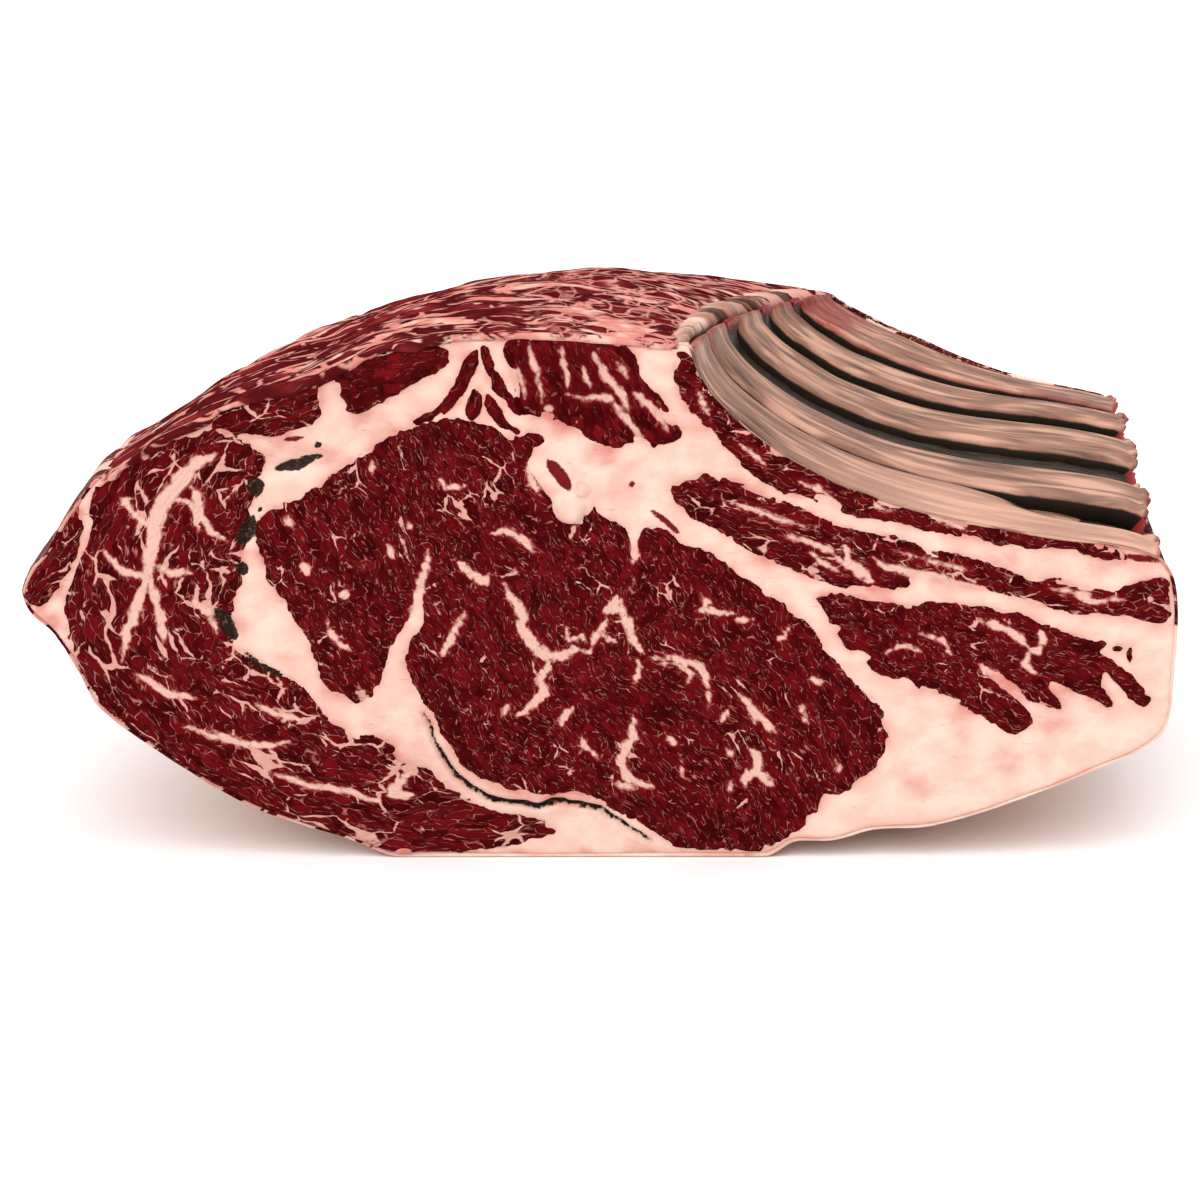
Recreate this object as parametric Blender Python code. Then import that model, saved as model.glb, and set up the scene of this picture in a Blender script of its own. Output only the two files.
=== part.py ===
"""Beef rib roast, bone in: five ribs, cut across at both ends.

The roast is one lofted form. Its cut outline was read by hand in millimetres
and moves a little from the front cut to the back cut. Every muscle is a
column with its own outline that follows the same move through the depth.
Each muscle is its own solid, and the fat is what is left around them.
X runs along the long side, Y goes back from the front cut, Z is up.
"""

import bmesh
import bpy
import math
import numpy as np

MM = 0.001

# Main sizes in millimetres.
FRONT_Y = -90.0
BACK_Y = 90.0
DEPTH = BACK_Y - FRONT_Y
CENTRE_X = 0.0
CENTRE_Z = 75.0
GAP = 0.3
EDGE_ROUND = 3.0
EDGE_PROFILE = ((2.4, 0.0), (0.7, 1.0))
FLAT_ANGLE = math.radians(0.6)
SIDE_SHARES = (0.0, 0.12, 0.26, 0.4, 0.55, 0.7, 0.85, 1.0)

# Form resolution.
OUTLINE_COUNT = 120
FINE_COUNT = 1200
COLUMN_STATIONS = (0.0, 0.4, 0.7, 1.0)
LAYER_STATIONS = (0.035, 0.25, 0.5, 0.75, 0.965)

# The front outline, clockwise from the left tip. Each row: x, z, how far the
# point has moved at the back cut in x and z, how late that move comes, and
# the share of the rise that the rib side has halfway back.
OUTLINE = (
    (-166.0, 80.0, 50.0, -8.0, 2.0, 0.0),
    (-163.0, 86.5, 50.0, -9.0, 2.0, 0.0),
    (-159.0, 91.0, 50.0, -10.0, 2.0, 0.0),
    (-155.0, 98.0, 49.0, -12.0, 2.0, 0.0),
    (-150.0, 106.0, 49.0, -15.0, 2.0, 0.0),
    (-143.5, 114.0, 48.0, -18.0, 2.0, 0.0),
    (-136.0, 118.7, 47.0, -20.0, 2.0, 0.0),
    (-123.5, 126.5, 42.0, -19.0, 2.0, 0.0),
    (-113.0, 132.3, 36.0, -16.0, 2.0, 0.0),
    (-100.0, 137.6, 28.0, -15.0, 2.0, 0.0),
    (-91.0, 140.2, 22.0, -16.0, 2.0, 0.0),
    (-84.0, 142.7, 20.0, -18.0, 2.0, 0.0),
    (-76.0, 146.5, 18.0, -20.0, 2.0, 0.0),
    (-62.0, 152.3, 17.0, -25.0, 2.1, 0.0),
    (-44.0, 155.5, 18.0, -25.0, 2.4, 0.0),
    (-28.0, 156.5, 20.0, -23.0, 2.7, 0.0),
    (-8.0, 156.3, 24.0, -21.0, 3.0, 0.0),
    (8.0, 154.8, 30.0, -20.0, 2.6, 0.0),
    (18.0, 153.6, 38.0, -21.0, 2.0, 0.0),
    (25.7, 153.0, 47.0, -23.0, 1.4, 0.0),
    (28.8, 145.0, 48.0, -17.0, 1.3, 0.0),
    (32.0, 137.5, 47.0, -12.0, 1.3, 0.0),
    (38.0, 131.5, 44.0, -8.0, 1.2, 0.0),
    (50.0, 122.0, 39.0, -3.0, 1.2, 0.0),
    (60.0, 116.0, 35.0, 0.5, 1.1, 0.1),
    (72.0, 112.0, 31.0, 1.5, 1.1, 0.2),
    (85.0, 107.0, 25.0, 3.5, 1.0, 0.35),
    (100.0, 103.5, 20.0, 2.5, 1.0, 0.6),
    (115.0, 99.5, 14.0, 2.5, 1.0, 0.85),
    (127.0, 97.8, 10.0, 2.5, 1.0, 1.0),
    (140.0, 96.0, 6.0, 3.0, 1.0, 1.0),
    (151.0, 93.5, 4.0, 4.0, 1.0, 1.0),
    (159.0, 91.0, 2.0, 5.0, 1.0, 1.0),
    (163.0, 87.5, 0.0, 4.0, 1.0, 0.8),
    (165.2, 82.0, -1.0, 3.0, 1.0, 0.4),
    (166.0, 75.0, -2.0, 2.0, 1.0, 0.0),
    (166.0, 66.0, -2.0, 2.0, 1.0, 0.0),
    (165.5, 55.0, -2.0, 1.0, 1.0, 0.0),
    (165.0, 45.0, -2.0, 1.0, 1.0, 0.0),
    (163.0, 38.0, -2.0, 1.0, 1.0, 0.0),
    (156.0, 32.0, -2.0, 1.0, 1.0, 0.0),
    (145.0, 27.0, -1.0, 1.0, 1.0, 0.0),
    (129.0, 20.0, -1.0, 0.5, 1.0, 0.0),
    (110.0, 13.0, 0.0, 0.0, 1.0, 0.0),
    (95.0, 9.0, 0.0, 0.0, 1.0, 0.0),
    (80.0, 8.2, 0.0, 0.0, 1.0, 0.0),
    (68.0, 5.0, 0.0, 0.0, 1.0, 0.0),
    (57.0, 4.6, 0.0, 0.0, 1.0, 0.0),
    (51.0, 1.2, 0.0, 0.0, 1.0, 0.0),
    (46.0, 0.0, 0.0, 0.0, 1.0, 0.0),
    (20.0, 0.0, 0.0, 0.0, 1.0, 0.0),
    (-10.0, 0.0, 0.0, 0.0, 2.0, 0.0),
    (-40.0, 0.0, 8.0, 0.0, 2.0, 0.0),
    (-58.0, 0.0, 14.0, 0.0, 2.0, 0.0),
    (-64.0, 1.5, 16.0, 0.0, 2.0, 0.0),
    (-75.0, 6.0, 19.0, 0.0, 2.0, 0.0),
    (-90.0, 10.5, 24.0, -1.0, 2.0, 0.0),
    (-105.0, 17.0, 29.0, -1.0, 2.0, 0.0),
    (-120.0, 26.3, 35.0, -2.0, 2.0, 0.0),
    (-135.0, 37.0, 41.0, -3.0, 2.0, 0.0),
    (-145.5, 46.0, 45.0, -4.0, 2.0, 0.0),
    (-150.0, 55.0, 46.0, -5.0, 2.0, 0.0),
    (-157.0, 67.0, 48.0, -6.0, 2.0, 0.0),
    (-163.5, 73.5, 50.0, -7.0, 2.0, 0.0),
)
KEY_LEFT_LAYER = 5
KEY_CREST = 19
KEY_RIB_END = 32
RIB_SIDE_RISE = 7.0

EYE_MUSCLE = (
    (-98, 96), (-97.5, 101), (-94, 104), (-88, 107), (-83, 109), (-76, 115), (-70, 119),
    (-60, 125.5), (-50, 130), (-40, 131), (-32, 129), (-24, 125.5), (-20, 127), (-16.5, 125),
    (-20, 120), (-20.5, 116.5), (-18, 113), (-15, 110), (-12, 103), (-9, 100), (-5, 99.5),
    (-2, 105.5), (0, 103), (6, 99.5), (8.5, 94), (9.5, 90.5), (10.5, 92), (12, 98),
    (15, 99.5), (19, 98), (24, 94.5), (30, 91.5), (38, 87), (45.6, 81), (50, 78.5),
    (56, 74), (60, 70), (64, 63.5), (69, 57.5), (75, 51), (80, 46.5), (82, 42), (83, 36),
    (82, 32), (79, 27), (76, 24.5), (72, 21.5), (68, 19), (65, 19), (62, 13.5), (58, 9.5),
    (54, 6.2), (50, 3.6), (46, 2.0), (40, 2.0), (30, 2.5), (22, 3), (19, 5), (15, 8),
    (10, 11.5), (5, 14.5), (0, 17), (-5, 18.8), (-10, 20), (-15, 18.7), (-20, 19.3),
    (-28, 21), (-35, 24.5), (-41, 29.5), (-44.5, 36), (-47.5, 41.5), (-52, 48),
    (-55.5, 56.5), (-54, 65.5), (-51, 70), (-50.5, 76), (-51.5, 80), (-53, 77), (-57, 69),
    (-60, 64), (-62.5, 55), (-65.5, 49), (-70, 47), (-77, 50.5), (-80.5, 55), (-84, 65),
    (-89.5, 75), (-94.5, 83),
)
CAP_MUSCLE = (
    (-107, 124.5), (-113, 124), (-120, 121), (-128, 117.5), (-136, 111), (-140, 105),
    (-142, 100), (-145, 90), (-147, 83), (-149.5, 76), (-149.5, 70), (-147, 62),
    (-143.5, 54), (-140, 48), (-133, 42.5), (-127, 37.5), (-118, 31), (-108, 24.5),
    (-98, 18), (-88, 13), (-78, 9), (-68, 5.2), (-60, 3.0), (-50, 3), (-40, 3), (-30, 4),
    (-20, 6), (-13, 8.5), (-20, 11.8), (-28, 13.4), (-35, 16), (-41, 19.5), (-45.5, 23),
    (-50, 27), (-57, 29), (-60, 34), (-65, 36.5), (-70, 37), (-75, 40), (-80, 44),
    (-85, 51.5), (-91, 55), (-100, 60), (-104.5, 64), (-106, 70), (-104, 78), (-102, 90),
    (-101, 97), (-100, 103), (-98, 110), (-95.5, 120),
)
TIP_MUSCLE = (
    (-148.8, 103.5), (-148, 97.5), (-149.8, 90), (-153, 84), (-158, 79.8), (-163, 78.6),
    (-163.2, 80.8), (-160.2, 85.6), (-156.5, 90.3), (-153, 97),
)
SHOULDER_MUSCLE_1 = (
    (-109, 129.3), (-104, 131.3), (-98, 133), (-88, 136), (-81, 138.3), (-79, 134),
    (-81, 129), (-86, 127.5), (-94, 125.5), (-102, 126.8), (-108, 127.6),
)
SHOULDER_MUSCLE_2 = (
    (-74, 142.2), (-71, 143.8), (-63, 145.5), (-55, 148.2), (-48, 150.6), (-43, 149.4),
    (-44, 146), (-49, 143), (-55, 139.5), (-62, 135.5), (-70, 132.5), (-73, 137),
)
SEAM_SLIVER_1 = (
    (-35.5, 149.5), (-38.5, 148.5), (-44, 140), (-50, 134.8), (-52, 132.8), (-48, 132.8),
    (-42.5, 134.5), (-38, 141), (-35, 146),
)
SEAM_SLIVER_2 = ((-33, 148), (-30.8, 147.3), (-28, 141.8), (-29, 140.5), (-31.5, 144))
SEAM_SLIVER_3 = ((-36, 139), (-33.8, 139.5), (-34.2, 133.5), (-37, 132.6))
SEAM_SLIVER_4 = ((-32.3, 138), (-30, 138.5), (-26, 131.5), (-25.3, 128.6), (-27.5, 129.6), (-31, 133.5))
TOP_MUSCLE = (
    (-27, 149.3), (-25, 151.6), (-15, 151.8), (-4, 151.4), (5, 149.6), (10, 147.4),
    (12.6, 142), (17, 137.5), (19.5, 132), (23.5, 127.5), (22.5, 125.5), (19, 124),
    (15, 122.5), (10, 124), (5, 122), (0, 123.5), (-5, 126), (-10, 129), (-15, 131),
    (-20, 131.5), (-23.3, 133), (-24.3, 138), (-25.3, 145),
)
RIB_STRIP = (
    (15, 150), (20, 149), (24, 143.5), (28, 137.5), (33, 132.3), (38, 128.5), (43, 124.5),
    (50, 119.5), (60, 113.8), (72, 109.8), (85, 104.8), (100, 101.3), (115, 97.4),
    (127, 95.6), (140, 93.6), (150, 90.5), (150, 88.9), (140, 90.6), (130, 92.6),
    (124, 92), (115, 94), (106, 95.6), (98, 96.8), (90, 99), (80, 101), (75, 101.5),
    (70, 103), (65, 106.5), (55, 108.3), (48, 111.5), (40, 117.5), (33, 126), (26, 133),
    (21, 139), (17, 143.5), (14, 148.5),
)
MIDDLE_STRIP = (
    (20, 110), (22, 112), (30, 114.5), (34, 112.5), (36, 113.3), (45, 109), (56, 105),
    (65, 101), (75, 98), (80, 97), (90, 94.5), (95, 92), (110, 89.6), (113, 88),
    (118, 86.3), (124, 84), (130, 84.3), (138, 82), (143, 80.5), (148, 80.5), (152, 82),
    (157, 83.8), (161, 84.2), (163, 82), (163.6, 76), (163, 71.5), (160, 69.8),
    (156, 70.5), (150, 72), (142, 73.3), (136, 73), (131, 74.5), (127, 76), (120, 77.7),
    (113, 80), (108, 80.7), (100, 82), (91, 84), (88, 81.6), (80, 81.2), (70, 81.4),
    (65, 82.4), (62, 83.4), (58, 85), (52, 88), (45, 91), (35, 97.5), (28, 101),
    (24, 104), (21, 107.5),
)
FLANK_MUSCLE = (
    (62, 78), (65, 79.3), (70, 79.3), (75, 78), (80, 77), (88, 76.5), (95, 77),
    (105, 76.2), (112, 75.2), (120, 73.2), (126, 71), (130, 69.5), (137, 67), (141, 65.5),
    (145, 64.8), (144.6, 62.8), (146.5, 60), (150, 57.5), (153, 55), (156, 52),
    (158.5, 49), (158.5, 47), (156, 46.5), (152, 49), (149, 52.5), (145, 55.5),
    (145, 51), (147.5, 48), (147, 45.7), (144, 47), (138, 50), (133, 52), (129, 54),
    (130, 50), (132.5, 47), (133, 44.8), (130.5, 44.6), (127, 46.7), (121.5, 49.5),
    (114, 54.8), (118, 50.8), (121, 47.5), (124, 43), (124, 40.5), (121, 38), (117, 38),
    (112, 41), (106, 45), (103.5, 46), (104.5, 48), (96, 50), (91, 51.5), (88.5, 54),
    (82, 55), (79, 56), (77, 58.5), (77, 61), (74, 63), (72, 62), (69.5, 64), (68, 67.5),
    (68.3, 70), (65.5, 71.5), (63.3, 75),
)
CREVICE_LINE = (
    (-51, 44), (-49, 39.5), (-47.4, 35), (-46.4, 31.5), (-43.8, 27.3), (-41, 24),
    (-37.5, 21.2), (-33.5, 18.9), (-29.5, 17.6), (-23.5, 16.4), (-18, 15.8), (-10, 17.3),
    (0, 14.4), (5, 11.8), (10, 8.4), (15, 5.2),
)
CREVICE_WIDTH = 1.4
CREVICE_DEPTH = 6.0

# Two small loose spots of lean beside the flank muscle: centre x, z, half sizes.
FLANK_SPOTS = ((148.6, 63.2, 1.9, 1.3), (152.2, 61.2, 1.3, 2.2))
SPOT_SIDES = 8

# The ribs. Each row: front edge and back edge, measured back from the front cut.
RIB_EDGES = ((6.6, 30.0), (36.0, 61.0), (75.0, 104.0), (113.0, 137.0), (144.5, 173.4))
RIB_THICKNESS = 8.4
RIB_SWELL = 1.0
RIB_EDGE_DROP = 1.4
RIB_STATIONS = 10
RIB_FIRST_SHARE = 0.035
RIB_LAST_SHARE = 0.955
# How far past the crest and past the last key of the outline the rib side runs.
RIB_SIDE_START = 0.1
RIB_SIDE_OVERRUN = 0.55
# Heights of the foot of a rib's rounded front and back corners.
RIB_FRONT_FOOT = 3.2
RIB_BACK_FOOT = 3.4

# The bed in the fat that holds the ribs.
RIB_BED_DEPTH = 9.2
RIB_BED_START = 6.0
RIB_BED_END = 174.0
BED_SECTIONS = 9
BED_POINTS = 19
BED_POINT_POWER = 1.4
BED_LAST_POINT = 0.97
BED_LID_HEIGHT = 9.0
# Extra depth towards the rib ends and towards the crest, and where each sets in.
BED_END_DEPTH, BED_END_SHARE = 2.0, 0.78
BED_CREST_DEPTH, BED_CREST_SHARE = 1.2, 0.3
BED_EASE = 0.1
# The bed opens upward at the crest and outward at the rib ends.
BED_CREST_MOUTH = (-3.0, 0.0, 16.0)
BED_FLOOR_MOUTH = (14.0, 0.0, -1.0)
BED_LID_MOUTH = (14.0, 0.0, 6.0)

# Between the first two ribs a membrane bridges the gap for part of their length.
MEMBRANE_SHARE = 0.44
MEMBRANE_EDGE = 35.4
FIRST_RIB_DROP = 3.0
FIRST_RIB_DROP_START = 0.5

# The dark straps between the ribs.
STRAP_THICKNESS = 2.0
STRAP_CROWN = 0.4
STRAP_STATIONS = 12
STRAP_START = 0.09
STRAP_END = 0.94
STRAP_AFTER_MEMBRANE = 0.08

# The thin lean layer on top, the rib strip and the margin that cutters stand out by.
LAYER_THICKNESS = 2.5
LAYER_POINTS = 15
LAYER_CREST_GAP = 0.5
STRIP_DEPTH = 3.4
CUTTER_MARGIN = 6.0

# Low swells of the outside.
RELIEF_HEIGHT = 0.9
RELIEF_LOW, RELIEF_FADE = 30.0, 30.0
RELIEF_LAST_X, RELIEF_X_FADE = 25.0, 20.0

# Points nearer than this, in metres, are welded when a mesh is cleaned.
WELD_DISTANCE = 0.000005
SLIVER_DISTANCE = 0.000002


def clear_scene():
    """Remove whatever the file holds before the roast is made."""
    for thing in list(bpy.data.objects):
        bpy.data.objects.remove(thing, do_unlink=True)


def closed_spline(rows, count):
    """Pass a smooth closed curve through the rows and sample it evenly by row."""
    keys = np.array(rows, dtype=float)
    total = len(keys)
    place = np.linspace(0.0, total, count, endpoint=False)
    index = np.floor(place).astype(int)
    part = (place - index)[:, None]
    before = keys[(index - 1) % total]
    start = keys[index % total]
    end = keys[(index + 1) % total]
    after = keys[(index + 2) % total]
    linear = (end - before) * part
    square = (2.0 * before - 5.0 * start + 4.0 * end - after) * part ** 2
    cube = (3.0 * start - before - 3.0 * end + after) * part ** 3
    return place, start + 0.5 * (linear + square + cube)


PLACE, FINE = closed_spline(OUTLINE, FINE_COUNT)
FINE[:, 1] = np.maximum(FINE[:, 1], 0.0)
FINE_ANGLE = np.unwrap(np.arctan2(FINE[:, 1] - CENTRE_Z, FINE[:, 0] - CENTRE_X))


def outline_place(x, z):
    """Find which place on the outline lies straight out from the centre."""
    angle = np.arctan2(z - CENTRE_Z, x - CENTRE_X)
    start = FINE_ANGLE[0]
    turned = start - np.mod(start - angle, 2.0 * math.pi)
    angles = np.append(-FINE_ANGLE, -FINE_ANGLE[0] + 2.0 * math.pi)
    places = np.append(PLACE, float(len(OUTLINE)))
    return np.interp(-turned, angles, places)


def outline_row(place):
    """Read all columns of the fine outline at the given places."""
    places = np.append(PLACE, float(len(OUTLINE)))
    rows = np.vstack([FINE, FINE[:1]])
    wrapped = np.mod(place, float(len(OUTLINE)))
    return np.stack([np.interp(wrapped, places, rows[:, column]) for column in range(6)], axis=-1)


def outline_at(place, share):
    """The outline point at a place, for a share of the way to the back."""
    row = outline_row(place)
    share = np.clip(share, 0.0, 1.0)
    moved = share ** row[..., 4]
    rise = RIB_SIDE_RISE * row[..., 5] * np.sin(math.pi * share ** 1.3)
    x = row[..., 0] + row[..., 2] * moved
    z = row[..., 1] + row[..., 3] * moved + rise
    return x, np.maximum(z, 0.0)


def follow(x, z, share):
    """Carry a point of the front cut back through the roast."""
    place = outline_place(x, z)
    front_x, front_z = outline_at(place, 0.0 * share)
    reach = np.hypot(front_x - CENTRE_X, front_z - CENTRE_Z)
    ratio = np.hypot(x - CENTRE_X, z - CENTRE_Z) / reach
    far_x, far_z = outline_at(place, share)
    return CENTRE_X + ratio * (far_x - CENTRE_X), CENTRE_Z + ratio * (far_z - CENTRE_Z)


def side_relief(place, share):
    """Low swells of the outside, kept off the base and the rib side."""
    row = outline_row(place)
    above = np.clip((row[..., 1] - RELIEF_LOW) / RELIEF_FADE, 0.0, 1.0)
    off_ribs = np.clip((RELIEF_LAST_X - row[..., 0]) / RELIEF_X_FADE, 0.0, 1.0)
    wave = np.sin(place * 1.7 + share * 9.0) * np.sin(share * 21.0 + place * 0.6)
    ends = np.sin(math.pi * share)
    return RELIEF_HEIGHT * wave * above * off_ribs * ends


def solid(name, points, faces):
    """Make a closed object from points in millimetres, faces outward."""
    mesh = bpy.data.meshes.new(name)
    mesh.from_pydata((np.asarray(points, dtype=float) * MM).tolist(), [], faces)
    shape = bmesh.new()
    shape.from_mesh(mesh)
    bmesh.ops.triangulate(shape, faces=shape.faces[:])
    bmesh.ops.recalc_face_normals(shape, faces=shape.faces[:])
    if shape.calc_volume(signed=True) < 0.0:
        bmesh.ops.reverse_faces(shape, faces=shape.faces[:])
    shape.to_mesh(mesh)
    shape.free()
    thing = bpy.data.objects.new(name, mesh)
    bpy.context.scene.collection.objects.link(thing)
    return thing


def tube(name, sections):
    """Close a row of equal closed sections into one solid."""
    rings = np.stack(sections)
    stations, count = rings.shape[0], rings.shape[1]
    faces = [tuple(range(count)), tuple(range((stations - 1) * count, stations * count))]
    for ring in range(stations - 1):
        here, there = ring * count, (ring + 1) * count
        for side in range(count):
            after = (side + 1) % count
            faces.append((here + side, here + after, there + after, there + side))
    return solid(name, rings.reshape(-1, 3), faces)


def even_places(count):
    """Places spread evenly along the length of the front outline."""
    x, z = FINE[:, 0], FINE[:, 1]
    step = np.hypot(np.diff(x, append=x[0]), np.diff(z, append=z[0]))
    length = np.concatenate([[0.0], np.cumsum(step)])
    places = np.append(PLACE, float(len(OUTLINE)))
    wanted = np.linspace(0.0, length[-1], count, endpoint=False)
    return np.interp(wanted, length, places)


def edge_ring(places, inset, share, drop_in):
    """One ring of a rounded cut edge, a set distance in from the outside."""
    x, z = outline_at(places, share)
    reach = np.hypot(x - CENTRE_X, z - CENTRE_Z)
    ratio = 1.0 - inset / reach
    y = FRONT_Y + drop_in if share < 0.5 else BACK_Y - drop_in
    x = CENTRE_X + ratio * (x - CENTRE_X)
    z = CENTRE_Z + ratio * (z - CENTRE_Z)
    return np.stack([x, np.full(len(x), y), np.maximum(z, 0.0)], axis=-1)


def side_ring(places, share):
    """One ring around the outside at a share of the depth."""
    x, z = outline_at(places, share)
    reach = np.hypot(x - CENTRE_X, z - CENTRE_Z)
    out = 1.0 + side_relief(places, share) / reach
    x = CENTRE_X + out * (x - CENTRE_X)
    z = CENTRE_Z + out * (z - CENTRE_Z)
    y = FRONT_Y + EDGE_ROUND + share * (DEPTH - 2.0 * EDGE_ROUND)
    return np.stack([x, np.full(len(x), y), np.maximum(z, 0.0)], axis=-1)


def whole_form():
    """The whole roast as one closed form with flat cuts and rounded edges."""
    places = even_places(OUTLINE_COUNT)
    front = [edge_ring(places, inset, 0.0, drop_in) for inset, drop_in in EDGE_PROFILE]
    back = [edge_ring(places, inset, 1.0, drop_in) for inset, drop_in in reversed(EDGE_PROFILE)]
    sides = [side_ring(places, share) for share in SIDE_SHARES]
    return tube("whole_form", front + sides + back)


def grow(points, amount):
    """Move a closed outline outward by a set amount."""
    loop = np.array(points, dtype=float)
    before = np.roll(loop, 1, axis=0)
    after = np.roll(loop, -1, axis=0)
    turn = np.sum(loop[:, 0] * after[:, 1] - after[:, 0] * loop[:, 1])
    side = 1.0 if turn > 0.0 else -1.0
    leading = loop - before
    trailing = after - loop
    leading /= np.linalg.norm(leading, axis=1)[:, None]
    trailing /= np.linalg.norm(trailing, axis=1)[:, None]
    normal_a = side * np.stack([leading[:, 1], -leading[:, 0]], axis=1)
    normal_b = side * np.stack([trailing[:, 1], -trailing[:, 0]], axis=1)
    mean = normal_a + normal_b
    mean /= np.maximum(np.linalg.norm(mean, axis=1), 0.3)[:, None]
    reach = 1.0 / np.clip(np.sum(mean * normal_a, axis=1), 0.5, 1.0)
    return loop + mean * (amount * reach)[:, None]


def column(name, points, stations, first_y, last_y):
    """A column with a given outline that follows the roast through its depth."""
    loop = np.array(points, dtype=float)
    rings = []
    for order, share in enumerate(stations):
        x, z = follow(loop[:, 0], loop[:, 1], np.full(len(loop), share))
        y = FRONT_Y + share * DEPTH
        if order == 0:
            y = first_y
        if order == len(stations) - 1:
            y = last_y
        rings.append(np.stack([x, np.full(len(loop), y), z], axis=-1))
    rings = np.stack(rings)
    count = len(loop)
    faces = [tuple(range(count)), tuple(range((len(stations) - 1) * count, len(stations) * count))]
    for ring in range(len(stations) - 1):
        for side in range(count):
            after = (side + 1) % count
            here, there = ring * count, (ring + 1) * count
            faces.append((here + side, here + after, there + after, there + side))
    return solid(name, rings.reshape(-1, 3), faces)


def through_column(name, points):
    """A column from in front of the front cut to behind the back cut."""
    return column(name, points, COLUMN_STATIONS, FRONT_Y - CUTTER_MARGIN, BACK_Y + CUTTER_MARGIN)


def combine(target, cutter, operation):
    """Apply one exact Boolean and bake it into the target mesh."""
    modifier = target.modifiers.new("cut", "BOOLEAN")
    modifier.operation = operation
    modifier.solver = "EXACT"
    modifier.object = cutter
    graph = bpy.context.evaluated_depsgraph_get()
    baked = bpy.data.meshes.new_from_object(target.evaluated_get(graph))
    target.modifiers.clear()
    target.data = baked


def copy_of(thing, name):
    """A separate copy of an object with its own mesh."""
    twin = thing.copy()
    twin.data = thing.data.copy()
    twin.name = name
    twin.data.name = name
    bpy.context.scene.collection.objects.link(twin)
    return twin


def tidy(thing):
    """Clear needless edges on flat faces and make all faces triangles."""
    shape = bmesh.new()
    shape.from_mesh(thing.data)
    bmesh.ops.dissolve_limit(shape, angle_limit=FLAT_ANGLE, verts=shape.verts[:], edges=shape.edges[:])
    bmesh.ops.remove_doubles(shape, verts=shape.verts[:], dist=WELD_DISTANCE)
    bmesh.ops.dissolve_degenerate(shape, edges=shape.edges[:], dist=SLIVER_DISTANCE)
    bmesh.ops.triangulate(shape, faces=shape.faces[:])
    loose = [vertex for vertex in shape.verts if not vertex.link_faces]
    bmesh.ops.delete(shape, geom=loose, context="VERTS")
    shape.to_mesh(thing.data)
    shape.free()


def rib_place(share_along):
    """Places on the outline from the crest to the rib ends."""
    reach = KEY_RIB_END + RIB_SIDE_OVERRUN - KEY_CREST
    return KEY_CREST + RIB_SIDE_START + reach * np.asarray(share_along)


def rib_frame(share_along, share_back):
    """Point and outward direction on the rib side."""
    step = 0.004
    x, z = outline_at(rib_place(share_along), share_back)
    ahead_x, ahead_z = outline_at(rib_place(share_along + step), share_back)
    behind_x, behind_z = outline_at(rib_place(share_along - step), share_back)
    run_x, run_z = ahead_x - behind_x, ahead_z - behind_z
    size = np.hypot(run_x, run_z)
    return x, z, -run_z / size, run_x / size


def rib_point(share_along, back, height):
    """A point a set height over the rib side, at a distance back."""
    share_along = np.asarray(share_along, dtype=float)
    x, z, out_x, out_z = rib_frame(share_along, np.full(share_along.shape, back / DEPTH))
    return np.stack([x + height * out_x, np.full(x.shape, FRONT_Y + back), z + height * out_z], axis=-1)


def rib_bed():
    """The shallow bed that holds the ribs, open on top and at the rib ends."""
    along = np.append(BED_LAST_POINT * np.linspace(0.0, 1.0, BED_POINTS) ** BED_POINT_POWER, 1.0)
    near_end = np.clip((along - BED_END_SHARE) / BED_EASE, 0.0, 1.0)
    near_crest = np.clip((BED_CREST_SHARE - along) / BED_EASE, 0.0, 1.0)
    deeper = BED_END_DEPTH * near_end + BED_CREST_DEPTH * near_crest
    floor_height = -RIB_BED_DEPTH - deeper
    lid_height = np.full(len(along), BED_LID_HEIGHT)
    sections = []
    for back in np.linspace(RIB_BED_START, RIB_BED_END, BED_SECTIONS):
        floor = rib_point(along, back, floor_height)
        lid = rib_point(along, back, lid_height)
        start = floor[0] + np.array(BED_CREST_MOUTH)
        floor[-1] += np.array(BED_FLOOR_MOUTH)
        lid[-1] += np.array(BED_LID_MOUTH)
        lid[0] = start
        sections.append(np.vstack([floor, lid[::-1]]))
    return tube("rib_bed", sections)


def rib_section(share_along, front, back, drop):
    """The rounded section of one rib at one station."""
    width = back - front
    profile = (
        (front, -RIB_THICKNESS), (front, -RIB_FRONT_FOOT), (front + 0.07 * width, -RIB_EDGE_DROP),
        (front + 0.3 * width, 0.5 * RIB_SWELL), (front + 0.6 * width, 0.4 * RIB_SWELL),
        (back - 0.1 * width, -RIB_EDGE_DROP), (back, -RIB_BACK_FOOT), (back, -RIB_THICKNESS),
    )
    rows = []
    for place_back, height in profile:
        lowered = height if height <= -RIB_THICKNESS else height - drop
        rows.append(rib_point(np.array([share_along]), place_back, np.array([lowered]))[0])
    return np.array(rows)


def rib(number, edges):
    """One rib: a flat curved bar from the crest to its sawn end."""
    front, back = edges
    sections = []
    for share_along in np.linspace(RIB_FIRST_SHARE, RIB_LAST_SHARE, RIB_STATIONS):
        far_edge = back
        drop = 0.0
        if number == 1:
            if share_along < MEMBRANE_SHARE:
                far_edge = MEMBRANE_EDGE
            past = max(0.0, share_along - FIRST_RIB_DROP_START)
            drop = FIRST_RIB_DROP * past / (1.0 - FIRST_RIB_DROP_START)
        sections.append(rib_section(share_along, front, far_edge, drop))
    return tube("rib_" + str(number), sections)


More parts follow.
